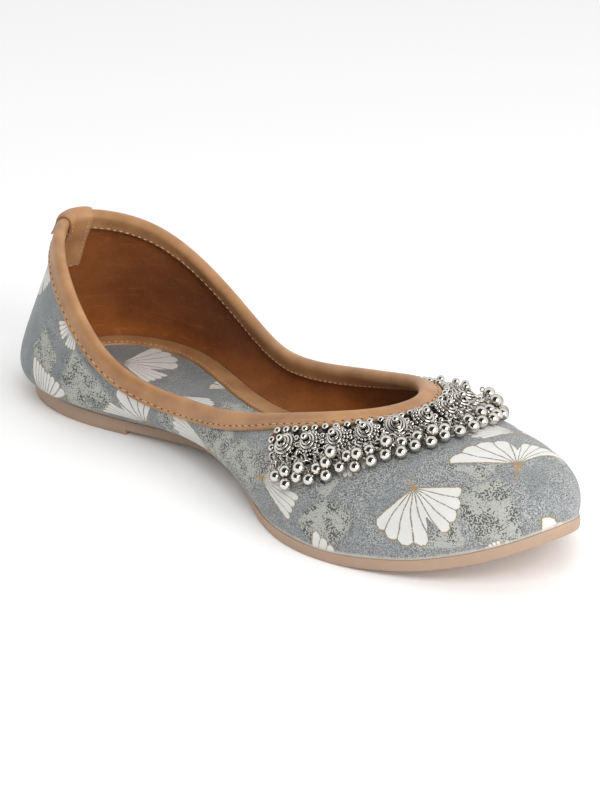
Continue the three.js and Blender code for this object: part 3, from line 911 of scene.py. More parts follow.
@dataclass(frozen=True)
class MouldedRubber(Finish):
    """Moulded thermoplastic rubber: pinkish tan, evenly dull, with a faint mould grain."""

    title: str = "moulded_rubber"
    dark: str = "#a58973"
    light: str = "#bca08a"
    cloud_mm: float = 18.0
    grain_mm: float = 0.8
    bump: float = 0.2
    bump_mm: float = 0.1
    rough: tuple[float, float] = (0.45, 0.65)

    def draw(self, tree: NodeTree, where: NodeSocket) -> dict[str, Any]:
        """Draw faint clouds and mould grain."""
        cloud = add(tree, Kind.NOISE, where, 1 / (self.cloud_mm * MM), 4.0)
        grain = add(tree, Kind.NOISE, where, 1 / (self.grain_mm * MM), 3.0)
        return {
            "Base Color": add(tree, Kind.MIX, cloud, self.dark, self.light),
            "Normal": relief(tree, grain, self.bump, self.bump_mm),
            "Roughness": add(tree, Kind.RANGE, grain, 0.0, 1.0, *self.rough),
        }


@dataclass(frozen=True)
class SilverPlate(Finish):
    """Polished plated brass: mirror bright on its rounds, darkened where parts meet by tarnish and
    painted shade.
    """

    title: str = "silver_plate"
    dark: str = "#c8c4bb"
    light: str = "#e9e6df"
    tarnish_and_shade: str = "#2f2b27"
    rim: str = "#6b6862"
    cloud_mm: float = 3.0
    hollow_mm: float = 1.2
    hollows: tuple[float, float] = (0.05, 0.45)
    rough: tuple[float, float] = (0.03, 0.12)

    def draw(self, tree: NodeTree, where: NodeSocket) -> dict[str, Any]:
        """Draw slightly uneven polish, and tarnish with painted shade in the hollows."""
        cloud = add(tree, Kind.NOISE, where, 1 / (self.cloud_mm * MM), 3.0)
        bright = add(tree, Kind.MIX, cloud, self.dark, self.light)
        # Occlusion darkens the hollows: tarnish, and painted shade where parts meet.
        open_sky = add(tree, Kind.HOLLOWS, Distance=self.hollow_mm * MM).outputs["AO"]
        untarnished_and_unshaded = add(tree, Kind.RANGE, open_sky, *self.hollows)
        return {
            "Base Color": add(tree, Kind.MIX, untarnished_and_unshaded, self.tarnish_and_shade, bright),
            "Roughness": add(tree, Kind.RANGE, cloud, 0.0, 1.0, *self.rough),
            "Metallic": 1.0,
            "Specular Tint": self.rim,
        }


@dataclass(frozen=True)
class SewingThread(Finish):
    """Twisted polyester thread: a dull colour, with painted shade in the fine grooves of its twist.
    """

    # These defaults make the dark marks that paint the shade in the binding's needle holes.
    title: str = "sewing_thread"
    colour: str = "#4a2f1c"
    twist_mm: float = 0.35
    groove_shade: float = 0.3
    rough: float = 0.7

    def draw(self, tree: NodeTree, where: NodeSocket) -> dict[str, Any]:
        """Draw the twist's bands of painted shade."""
        twist = add(tree, Kind.WAVE, where, 1 / (self.twist_mm * MM * math.tau), 2.0).outputs["Fac"]
        shade = add(tree, Kind.RANGE, twist, 0.0, 1.0, 0.0, self.groove_shade)
        colour = add(tree, Kind.MIX, shade, self.colour, "#000000")
        return {"Base Color": colour, "Roughness": self.rough}


@dataclass(frozen=True)
class ShadeSheet(Finish):
    """A near black, dull sheet of painted shade, woven, with painted light where its yarns rise."""

    title: str = "dark_shade_sheet"
    dark: str = "#24211e"
    light: str = "#423e39"
    yarn_mm: float = 0.45
    bump: float = 0.4
    bump_mm: float = 0.1
    rough: float = 0.85

    def draw(self, tree: NodeTree, where: NodeSocket) -> dict[str, Any]:
        """Draw the crossing yarns."""
        scale = 1 / (self.yarn_mm * MM * math.tau)
        yarns = [add(tree, Kind.WAVE, where, scale, 1.0, bands_direction=way) for way in ("X", "Y")]
        weave = add(tree, Kind.MULTIPLY, *(yarn.outputs["Fac"] for yarn in yarns))
        return {
            "Base Color": add(tree, Kind.MIX, weave, self.dark, self.light),
            "Normal": relief(tree, weave, self.bump, self.bump_mm),
            "Roughness": self.rough,
        }


@dataclass(frozen=True)
class WhitePaper(Finish):
    """Matt white paper under the shoe, lit a little from below so that it fades out to white."""

    title: str = "white_paper"
    tone: str = "#fbfbfb"
    rough: float = 0.9
    glow: float = 0.05

    def draw(self, tree: NodeTree, where: NodeSocket) -> dict[str, Any]:
        """Give one even tone and its glow."""
        return {
            "Base Color": self.tone,
            "Roughness": self.rough,
            "Emission Color": "#ffffff",
            "Emission Strength": self.glow,
        }


CLOTH = PrintedCloth()
LEATHER = TanLeather()
SUEDE = SuedeLining()
RUBBER = MouldedRubber()
SILVER = SilverPlate()
# Dark thread colour that paints the shade in the binding's needle holes.
HOLE_SHADE = SewingThread()
LIGHT_THREAD = SewingThread("light_sewing_thread", "#d9b99c")
TAN_THREAD = SewingThread("tan_sewing_thread", "#dcb892")
RED_THREAD = SewingThread("red_sewing_thread", "#c0392b")
# A dark sheet that paints the shade in the trim's gaps.
SHADE_SHEET = ShadeSheet()
PAPER = WhitePaper()


# Print


@dataclass(frozen=True)
class Fan:
    """A printed fan: its hub, the way its notch points, and its width and length on either side.

    Angles are degrees, lengths millimetres. Left is anticlockwise of the notch, seen from outside.
    """

    hub: Vector
    axis: Vector
    across: Vector
    middle: float
    left_deg: float
    left: float
    right_deg: float
    right: float
    cleft: float = 0.4

    def farness(self, point: Vector) -> float:
        """Say how far a point is from the fan's middle, against the fan's size."""
        lean = math.radians(self.left_deg - self.right_deg) / 2
        centre = self.axis * math.cos(lean) + self.across * math.sin(lean)
        size = (self.middle + self.left + self.right) / 3
        return (point - self.hub - centre * (0.45 * size)).length / size

    def local(self, point: Vector) -> tuple[float, float]:
        """Give a point on the fan's own map, open one radian each way to a radius of 1."""
        reach = point - self.hub
        angle = math.atan2(reach.dot(self.across), reach.dot(self.axis))
        half, corner = (self.left_deg, self.left) if angle > 0 else (self.right_deg, self.right)
        half, wide = math.radians(half), abs(angle)
        share = wide / half if wide < half else 1 + (wide - half) * (math.pi - 1) / (math.pi - half)
        size = self.middle + (corner - self.middle) * min(share, 1.0) ** 2
        turn, radius = math.copysign(share, angle), reach.length / size
        return radius * math.cos(turn), radius * math.sin(turn)


def chart(bm: BMesh, layer: str, fans: Sequence[Fan], sizes: str = "") -> None:
    """Give each face the map of the fan nearest to it.

    Args:
        bm: The mesh, in the last's millimetres.
        layer: The map's name.
        fans: The fans on it.
        sizes: The name of a map for that fan's length and its notch's depth; empty for none.
    """
    uv = bm.loops.layers.uv.new(layer)
    mm = bm.loops.layers.uv.new(sizes) if sizes else None
    for face in bm.faces:
        middle = face.calc_center_median()
        fan = min(fans, key=lambda each: each.farness(middle))
        for corner in face.loops:
            corner[uv].uv = fan.local(corner.vert.co)
            if mm:
                corner[mm].uv = (fan.middle, fan.cleft)


# Fans on the upper: loop, share up the section (below 0, straight on past the sole's edge), which
# way the notch points in degrees (0 ahead along the loop, 90 up), length there, the left side's
# angle and length, the right side's, and the notch's share of the length where it isn't the usual.
UPPER_LEAVES = (
    (0.4952, 0.439, 44, 17.5, 85, 22.3, 40, 26.8),
    (0.4416, 0.466, -109, 18.5, 62, 15.7, 83, 16.3),
    (0.3197, 0.461, -41, 19.7, 42, 16.6, 30, 20.2),
    (0.4165, 0.800, -80, 15.1, 21, 15.2, 35, 11.7),
    (0.5340, 0.590, 138, 18.0, 35, 18.0, 35, 18.0),
    (0.3545, -0.262, 40, 17.0, 50, 19.0, 10, 12.0),
    (0.4660, -0.126, 92, 8.0, 50, 7.5, 50, 7.5),
    (0.4846, -0.240, 0, 14.0, 90, 18.0, 10, 8.0),
    (0.2473, 0.450, 136, 21.5, 12, 18.4, 22, 22.0, 0.1),
    (0.1654, 0.260, 134, 15.6, 24, 20.2, 94, 9.7),
    (0.1130, 0.970, -120, 10.5, 40, 10.0, 45, 11.0),
    (0.0834, 0.070, 68, 10.8, 70, 15.0, 58, 14.5, 0.05),
    (0.0370, 0.900, -48, 14.5, 41, 16.5, 30, 14.5),
    (0.0200, 0.330, 70, 15.0, 55, 16.0, 50, 16.0),
    (0.5560, 0.340, 60, 18.0, 60, 18.0, 55, 19.0),
    (0.5950, 0.620, -75, 16.0, 55, 17.0, 50, 16.0),
    (0.6250, 0.180, 105, 17.0, 55, 17.0, 60, 18.0),
    (0.6700, 0.600, -120, 17.0, 50, 17.0, 60, 17.0),
    (0.7050, 0.220, 60, 15.0, 60, 15.0, 50, 15.0),
    (0.7500, 0.760, -60, 13.0, 45, 13.0, 50, 13.0),
    (0.7900, 0.150, 95, 13.0, 60, 14.0, 60, 13.0),
    (0.8350, 0.520, 30, 16.0, 55, 17.0, 60, 16.0),
    (0.8750, 0.120, 120, 14.0, 50, 15.0, 55, 15.0),
    (0.9150, 0.700, -80, 16.0, 60, 17.0, 50, 16.0),
    (0.9550, 0.250, 65, 15.0, 55, 15.0, 60, 16.0),
    (0.9850, 0.700, 150, 14.0, 50, 15.0, 50, 15.0),
)
UPPER_SHADES = (
    (0.4800, 0.379, -149, 19.0, 36, 19.0, 64, 12.0),
    (0.4884, 0.471, 158, 10.0, 27, 9.5, 25, 17.0),
    (0.2781, 0.181, 60, 14.0, 49, 12.0, 71, 24.0),
    (0.3740, 0.414, -96, 14.2, 41, 12.7, 76, 9.5),
    (0.0783, 0.724, -51, 16.9, 13, 19.0, 63, 9.3),
    (0.1153, 0.778, -86, 20.6, 45, 21.0, 24, 17.5),
    (0.3990, 0.556, 168, 8.4, 23, 7.0, 29, 13.0),
    (0.2455, 0.830, -32, 20.0, 30, 15.0, 42, 20.0),
    (0.1950, 0.700, -80, 12.0, 50, 12.0, 50, 12.0),
    (0.4250, 0.080, 20, 14.0, 20, 14.0, 30, 12.0),
    (0.5400, 0.150, 100, 16.0, 50, 16.0, 50, 16.0),
    (0.5850, 0.300, -30, 18.0, 50, 18.0, 40, 18.0),
    (0.6450, 0.400, 30, 18.0, 50, 18.0, 50, 18.0),
    (0.6900, 0.700, -90, 18.0, 50, 18.0, 50, 18.0),
    (0.7500, 0.250, 30, 16.0, 50, 16.0, 50, 16.0),
    (0.8050, 0.650, -60, 17.0, 50, 17.0, 50, 17.0),
    (0.8600, 0.450, -40, 18.0, 50, 18.0, 40, 18.0),
    (0.9300, 0.300, 160, 17.0, 50, 17.0, 50, 17.0),
    (0.9950, 0.350, -60, 17.0, 50, 17.0, 50, 17.0),
)
# Fans on the footbed: millimetres along and across, then as on the upper, with 0 to the toe.
FOOTBED_LEAVES = (
    (-97.0, 3.9, 17, 21.0, 85, 17.0, 33, 20.8),
    (-60.3, -0.4, 0, 16.0, 36, 10.0, 40, 16.0),
    (-52.5, 18.5, -160, 9.0, 30, 9.0, 30, 9.0),
    (-18.0, -4.0, 60, 15.0, 50, 15.0, 50, 15.0),
    (25.0, 12.0, -120, 20.0, 55, 20.0, 55, 20.0),
    (55.0, -14.0, 40, 20.0, 60, 21.0, 50, 20.0),
    (92.0, 6.0, -160, 17.0, 50, 17.0, 50, 17.0),
)
FOOTBED_SHADES = (
    (-46.0, 8.0, -10, 26.0, 30, 24.0, 40, 24.0),
    (-20.0, -2.0, 20, 24.0, 50, 24.0, 40, 24.0),
    (40.0, 6.0, 60, 26.0, 50, 26.0, 40, 26.0),
    (80.0, -8.0, 150, 24.0, 50, 24.0, 40, 24.0),
)


# Sub-assemblies


@dataclass
class Outsole:
    """The moulded sole: heel lift, arch and toe spring, with eased edges."""

    LIP = 0.5
    last: Last
    stations: int = 150
    across: int = 8
    bevel: float = 0.6
    bulge: float = 0.12
    flat: float = 1.4
    lift: float = 1.6
    breast_at: float = 0.265

    def section(self, loop: float, share: float) -> list[Vector]:
        """Give half of a section, from the top's flat over the edge to the underside's.

        Args:
            loop: The section's place on the right side.
            share: How much of the heel lift it has.

        Returns:
            The points from top to bottom.
        """
        foot, out = self.last.foot(loop), self.last.outward(self.last.foot, loop)
        top, under = self.last.sole_top(foot.x), self.last.sole_under(foot.x) - self.lift * share
        ease = self.bevel * 0.3
        edge = (
            (-self.bevel - self.flat, top),
            (-self.bevel, top),
            (-ease, top - ease * 0.5),
            (0.0, top - self.bevel),
            (self.bulge, (top + under) / 2),
            (0.0, under + self.bevel),
            (-ease, under + ease * 0.5),
            (-self.bevel, under),
            (-self.bevel - self.flat, under),
        )
        points = []
        for reach, z in edge:
            x, y = foot.x + out.x * (reach + self.LIP), foot.y + out.y * (reach + self.LIP)
            points.append(Vector((x, min(y, 0.0), z)))
        return points

    def ring(self, loop: float, share: float) -> list[Vector]:
        """Close a section: down the right edge, across below, up the left edge, across the top."""
        right = self.section(loop, share)
        left = [Vector((point.x, -point.y, point.z)) for point in right]
        steps = [(i + 1) / (self.across + 1) for i in range(self.across)]
        under = [right[-1].lerp(left[-1], step) for step in steps]
        over = [left[0].lerp(right[0], step) for step in steps]
        return [*right, *under, *reversed(left), *over, right[0]]

    def build(self) -> Object:
        """Skin the sections from heel to toe, two of them at the heel lift's breast."""
        loops = even_loops(self.last, 2 * self.stations)[: self.stations + 1]
        heel = sum(self.last.curves["at"].at(loop) < self.breast_at for loop in loops)
        rings = [self.ring(loop, 1.0) for loop in loops[:heel]]
        rings += [self.ring(loop, 0.0) for loop in loops[heel - 1 :]]
        bm = bmesh.new()
        wrap(bm, range(len(rings)), [row.__getitem__ for row in zip(*rings)])
        return finish_piece("moulded_sole", bm, (RUBBER,), ("outsole",), 30.0)


@dataclass
class Upper:
    """The printed upper with its suede lining: one shell with a wall, pulled over the last."""

    last: Last
    columns: int = 320
    outside_rows: int = 44
    inside_rows: int = 18
    below_mm: float = 50.0
    seat: float = 0.26
    # Soft troughs: loop and share of both ends, depth and half width in millimetres.
    troughs: tuple[tuple[float, ...], ...] = (
        (0.262, 0.25, 0.285, 0.75, 0.35, 5.0),
        (0.738, 0.25, 0.715, 0.75, 0.35, 5.0),
        (0.335, 0.08, 0.345, 0.45, 0.25, 4.0),
        (0.665, 0.08, 0.655, 0.45, 0.25, 4.0),
        (0.478, 0.04, 0.482, 0.2, 0.3, 2.2),
        (0.521, 0.04, 0.517, 0.22, 0.3, 2.2),
        (0.455, 0.03, 0.458, 0.16, 0.25, 2.0),
        (0.545, 0.03, 0.542, 0.16, 0.25, 2.0),
        (0.03, 0.05, 0.028, 0.3, 0.3, 3.0),
        (0.968, 0.05, 0.97, 0.3, 0.3, 3.0),
    )
    ends: list[tuple[Vector, Vector, float, float]] = field(default_factory=list)

    def sunk(self, loop: float, share: float) -> Vector:
        """Give a point of the outside, sunk in the troughs near it, and on the sole at its edge."""
        point = self.last.skin(loop, share)
        deep = 0.0
        for start, end, depth, width in self.ends:
            line = end - start
            t = min(max((point - start).dot(line) / line.length_squared, 0.0), 1.0)
            deep += depth * math.exp(-((point - start - line * t).length_squared) / width**2)
        if share == 0.0:
            point.z -= self.seat
        return point - self.last.normal(loop, share) * deep

    def fans(self, table: Sequence[Sequence[float]]) -> list[Fan]:
        """Set fans from a table on the upper."""
        fans = []
        for loop, share, turn_deg, *sizes in table:
            spot = (loop, max(share, 0.0))
            normal, up = self.last.normal(*spot), self.last.climb(*spot)
            ahead, turn = up.cross(normal), math.radians(turn_deg)
            axis = ahead * math.cos(turn) + up * math.sin(turn)
            hub = self.last.point(*spot) + up * (self.below_mm * min(share, 0.0))
            fans.append(Fan(hub, axis, normal.cross(axis), *sizes))
        return fans

    def build(self) -> Object:
        """Skin outside, rim, lining and foot as one closed shell, and chart its print."""
        last = self.last
        for loop, share, loop_end, share_end, depth, width in self.troughs:
            ends = last.point(loop, share), last.point(loop_end, share_end)
            self.ends.append((*ends, depth, width))
        outside = [i / self.outside_rows for i in range(self.outside_rows + 1)]
        inside = [1 - i / self.inside_rows for i in range(self.inside_rows + 1)]
        rows: list[Place] = [partial(self.sunk, share=share) for share in outside]
        rows += [partial(last.skin, share=share, offset=-last.WALL) for share in inside]
        paint = [0] * (self.outside_rows + 1) + [1] * self.inside_rows + [0]
        bm = bmesh.new()
        wrap(bm, even_loops(last, self.columns), [*rows, rows[0]], paint)
        chart(bm, "leaf", self.fans(UPPER_LEAVES), "leaf_mm")
        chart(bm, "shade", self.fans(UPPER_SHADES))
        edge = bm.loops.layers.uv.new("edge")
        for corner in (corner for face in bm.faces for corner in face.loops):
            rise = corner.vert.co.z - last.sole_top(corner.vert.co.x)
            corner[edge].uv = (1 - rise / CLOTH.edge_mm, 0.0)
        return finish_piece("printed_upper", bm, (CLOTH, SUEDE), ("upper",), 60.0)


@dataclass
class CollarBinding:
    """The leather strip round the collar: a leaf outside, a rolled edge and a leaf inside."""

    last: Last
    columns: int = 320
    crown: float = 0.12
    seam_at: float = 0.28
    inside_seam_at: float = 3.9
    # Across the outside leaf: share of its width from below, and height against the leather's face.
    outside: tuple[tuple[float, float], ...] = (
        (0.0, -0.5), (0.03, -0.12), (0.08, 0.0), (0.2, 0.0), (0.28, -0.14),
        (0.36, 0.0), (0.5, 0.05), (0.62, -0.12), (0.72, 0.0), (0.86, 0.12),
    )
    # Down the inside leaf: distance below the collar, and height against the leather's face.
    inside: tuple[tuple[float, float], ...] = (
        (1.6, 0.05), (2.6, -0.1), (3.4, 0.0), (4.5, -0.1), (4.8, -0.5),
    )
    outside_seam: Seam = Seam(2.3, 3.1, 0.42)
    # Dark marks between the outside stitches paint the shade in the needle holes.
    hole_shade: Seam = Seam(0.8, 3.1, 0.52, 0.0)
    inside_seam: Seam = Seam(1.7, 2.3, 0.5)

    def leaf(self, loop: float, share: float, offset: float) -> Vector:
        """Give a point of the outside leaf, at a share of its width from its lower edge."""
        return self.last.below(loop, self.last.leaf(loop) * (1 - share), offset)

    def roll(self, loop: float, turn_deg: float, offset: float) -> Vector:
        """Give a point of the roll, turned from outside over the top."""
        return self.last.roll(loop, math.radians(turn_deg), self.last.WALL / 2 + offset)

    def lining(self, loop: float, distance: float, offset: float) -> Vector:
        """Give a point of the inside leaf, at a distance below the collar."""
        return self.last.below(loop, distance, -self.last.WALL - offset)

    def build(self) -> list[Object]:
        """Skin the strip and sew it."""
        last = self.last
        gap, lift = last.GAP, last.GAP + last.LEATHER
        rows: list[Place] = [partial(self.leaf, share=0.0, offset=gap * 0.2)]
        rows += [partial(self.leaf, share=at, offset=lift + high) for at, high in self.outside]
        top = lift + self.crown
        rows += [partial(self.roll, turn_deg=turn, offset=top) for turn in range(0, 181, 15)]
        rows += [partial(self.lining, distance=at, offset=lift + high) for at, high in self.inside]
        rows += [partial(self.lining, distance=self.inside[-1][0], offset=0.1)]
        rows += [partial(self.roll, turn_deg=turn, offset=gap) for turn in range(180, -1, -30)]
        rows += [partial(self.leaf, share=0.5, offset=gap * 0.5), rows[0]]
        bm = bmesh.new()
        wrap(bm, even_loops(last, self.columns), rows)
        strip = finish_piece(
            "collar_binding_strip", bm, (LEATHER,), ("collar_binding",), SHARP_DEG
        )

        bm = bmesh.new()
        outside, inside = [], []
        for loop in even_loops(last, 4 * self.columns):
            normal = last.normal(loop, 0.9)
            outside.append((self.leaf(loop, self.seam_at, lift - 0.06), normal))
            inside.append((self.lining(loop, self.inside_seam_at, lift - 0.02), -normal))
        # Paint the shade in the needle holes, then sew the seams.
        self.hole_shade.sew(bm, outside, 0)
        count = self.outside_seam.sew(bm, outside, 2) + self.inside_seam.sew(bm, inside, 1)
        LOG.info("binding: %d stitches", count)
        threads = (HOLE_SHADE, LIGHT_THREAD, TAN_THREAD)
        return [strip, finish_piece("binding_stitches_and_hole_shade", bm, threads)]


@dataclass
class HeelTab:
    """The strip folded over the back of the collar, with the lining's seam strip below it."""

    NEAR_HEEL = 0.12
    HALVINGS = 22
    last: Last
    half_top: float = 7.0
    half_inside: float = 5.5
    outside: float = 6.0
    outside_rows: int = 8
    roll_step_deg: int = 15
    curl: float = 0.9
    # Rows down the inside, in millimetres below the collar. The tab leaves the binding among them.
    inside: tuple[float, ...] = (
        0.8, 1.6, 2.4, 3.2, 4.0, 4.8, 5.4, 6.0, 6.8, 8.5, 10.5, 12.5, 14.5, 16.5, 18.5, 19.6, 20.0,
    )
    drop_from: float = 2.4
    drop_over: float = 9.0
    across: int = 14
    eased: float = 0.8
    seam_at: float = 0.8
    seam_sunk: float = 0.12
    seam: Seam = Seam(1.1, 1.9, 0.4)
    strip_half: float = 6.0
    strip_thick: float = 0.45
    strip_rows: tuple[float, ...] = (17.5, 22.0, 27.0, 32.0, 37.0, 42.0, 47.0, 51.0)

    def loop_at_side(self, distance: float, sideways: float) -> float:
        """Give the loop position near the heel's middle where the upper is so far to the side."""
        low, high = 0.0, self.NEAR_HEEL
        for _ in range(self.HALVINGS):
            middle = (low + high) / 2
            if abs(self.last.below(middle, distance).y) < abs(sideways):
                low = middle
            else:
                high = middle
        return low if sideways < 0 else -low

    def level(self, share: float, distance: float, half: float, offset: float) -> Vector:
        """Give a point at a distance below the collar, at a share of the half width to the side."""
        return self.last.below(self.loop_at_side(distance, half * share), distance, offset)

    def rolled(self, share: float, turn_deg: float, reach: float) -> Vector:
        """Give a point on the roll over the collar, at a share of the half width to the side."""
        loop = self.loop_at_side(0.0, self.half_top * share)
        return self.last.roll(loop, math.radians(turn_deg), reach)

    def path(self, extra: float) -> list[Place]:
        """Give the strip's rows from its outside end over the collar to its inside end.

        Args:
            extra: How far the rows stand above the strip's own underside.

        Returns:
            The rows, each a point for a share from -1 to 1 across the strip.
        """
        wall, gap = self.last.WALL, self.last.GAP
        over = 2 * gap + self.last.LEATHER
        rows: list[Place] = []
        for i in range(self.outside_rows):
            up = 1 - i / self.outside_rows
            offset = over + extra + self.curl * up**2
            down = self.outside * up
            rows.append(partial(self.level, distance=down, half=self.half_top, offset=offset))
        for turn in range(0, 181, self.roll_step_deg):
            rows.append(partial(self.rolled, turn_deg=turn, reach=wall / 2 + over + extra))
        for distance in self.inside:
            half = self.half_top + (self.half_inside - self.half_top) * distance / self.inside[-1]
            t = min(max((distance - self.drop_from) / self.drop_over, 0.0), 1.0)
            offset = -wall - (over + (gap - over) * t * t * (3 - 2 * t)) - extra
            rows.append(partial(self.level, distance=distance, half=half, offset=offset))
        return rows

    def crowned(self, share: float, face: Place, under: Place) -> Vector:
        """Give a point of the face, eased down towards the strip's underside at its two edges."""
        ease = 0.55 * max(abs(share) - self.eased, 0.0) / (1 - self.eased)
        return face(share).lerp(under(share), ease)

    def lining_strip(self, share: float, distance: float, thick: float) -> Vector:
        """Give a point of the lining's seam strip, crowned to a thickness."""
        height = 0.05 + thick * (1.1 - abs(share) ** 8)
        return self.level(share, distance, self.strip_half, -self.last.WALL - height)

    def build(self) -> list[Object]:
        """Skin the strip and its stitches, and the seam strip below."""
        leather = self.last.LEATHER
        shares = [2 * i / self.across - 1 for i in range(self.across + 1)]
        back = self.path(0.0)
        tops = zip(self.path(leather), back)
        face = [partial(self.crowned, face=row, under=under) for row, under in tops]
        bm = bmesh.new()
        lay_strip(bm, shares, face, back)
        strip = finish_piece(
            "heel_tab_strip", bm, (LEATHER,), ("heel_tab",), SHARP_DEG
        )

        bm = bmesh.new()
        rows, normal = self.path(leather - self.seam_sunk), Vector((1.0, 0.0, 0.2))
        inside = rows[self.outside_rows + 180 // self.roll_step_deg :]
        for side in (-self.seam_at, self.seam_at):
            self.seam.sew(bm, [(row(side), normal) for row in inside])
        ends = [rows[-2](self.seam_at * share) for share in (-1.0, -0.5, 0.0, 0.5, 1.0)]
        self.seam.sew(bm, [(point, normal) for point in ends])
        seams = finish_piece("heel_tab_stitches", bm, (LIGHT_THREAD,))

        bm = bmesh.new()
        face, back = (
            [partial(self.lining_strip, distance=stop, thick=thick) for stop in self.strip_rows]
            for thick in (self.strip_thick, 0.0)
        )
        lay_strip(bm, shares, face, back)
        strap = finish_piece("lining_seam_strip", bm, (SUEDE,), (), 60.0)
        return [strip, seams, strap]


@dataclass
class Footbed:
    """The printed insole and the stitched leather border round it."""

    last: Last
    stations: int = 120
    across: int = 24
    thick: float = 1.2
    border_width: float = 7.0
    border_thick: float = 0.5
    seam_in: float = 5.8
    seam_sunk: float = 0.05
    seam_steps: int = 1200
    seam: Seam = Seam(1.5, 2.2, 0.42)

    def fans(self, table: Sequence[Sequence[float]]) -> list[Fan]:
        """Set fans from a table on the footbed."""
        fans = []
        for x, y, turn_deg, *sizes in table:
            turn = math.radians(turn_deg)
            axis = Vector((math.cos(turn), math.sin(turn), 0.0))
            hub = Vector((x, y, self.last.sole_top(x) + self.last.GAP + self.thick))
            fans.append(Fan(hub, axis, Vector((-axis.y, axis.x, 0.0)), *sizes))
        return fans

    def crossing(self, loop: float, share: float, height: float) -> Vector:
        """Give a point a share of the way from the right edge to the left one."""
        edge = self.last.footbed(loop, height, 0.0)
        return Vector((edge.x, min(edge.y, 0.0) * (1 - 2 * share), edge.z))

    def build(self) -> list[Object]:
        """Skin the board and its border, and sew the border."""
        last, loops = self.last, even_loops(self.last, 2 * self.stations)
        shares = [i / self.across for i in range(self.across + 1)]
        ring = [(share, self.thick) for share in shares]
        ring += [(share, 0.0) for share in reversed(shares)]
        rows = [partial(self.crossing, share=share, height=height) for share, height in ring]
        bm = bmesh.new()
        wrap(bm, loops[: self.stations + 1], [*rows, rows[0]])
        chart(bm, "leaf", self.fans(FOOTBED_LEAVES), "leaf_mm")
        chart(bm, "shade", self.fans(FOOTBED_SHADES))
        board = finish_piece("printed_insole", bm, (CLOTH,), ("insole",), SHARP_DEG)

        low, high = self.thick + 0.05, self.thick + last.GAP + self.border_thick
        profile = (
            (low, 0.0), (high, 0.0), (high + 0.05, 2.5), (high, 5.2),
            (high - 0.12, self.seam_in), (high, 6.3), (high - 0.1, 6.8), (low, self.border_width),
        )
        rows = [partial(last.footbed, height=height, inset=inset) for height, inset in profile]
        bm = bmesh.new()
        wrap(bm, loops, [*rows, rows[0]])
        border = finish_piece(
            "insole_border_strip", bm, (LEATHER,), ("insole_border",), SHARP_DEG
        )

        bm = bmesh.new()
        stops, height = even_loops(last, self.seam_steps), high - self.seam_sunk
        path = [last.footbed(loop, height, self.seam_in) for loop in stops]
        self.seam.sew(bm, [(point, Vector((0, 0, 1))) for point in path])
        seams = finish_piece("border_stitches", bm, (LIGHT_THREAD,))
        return [board, border, seams]


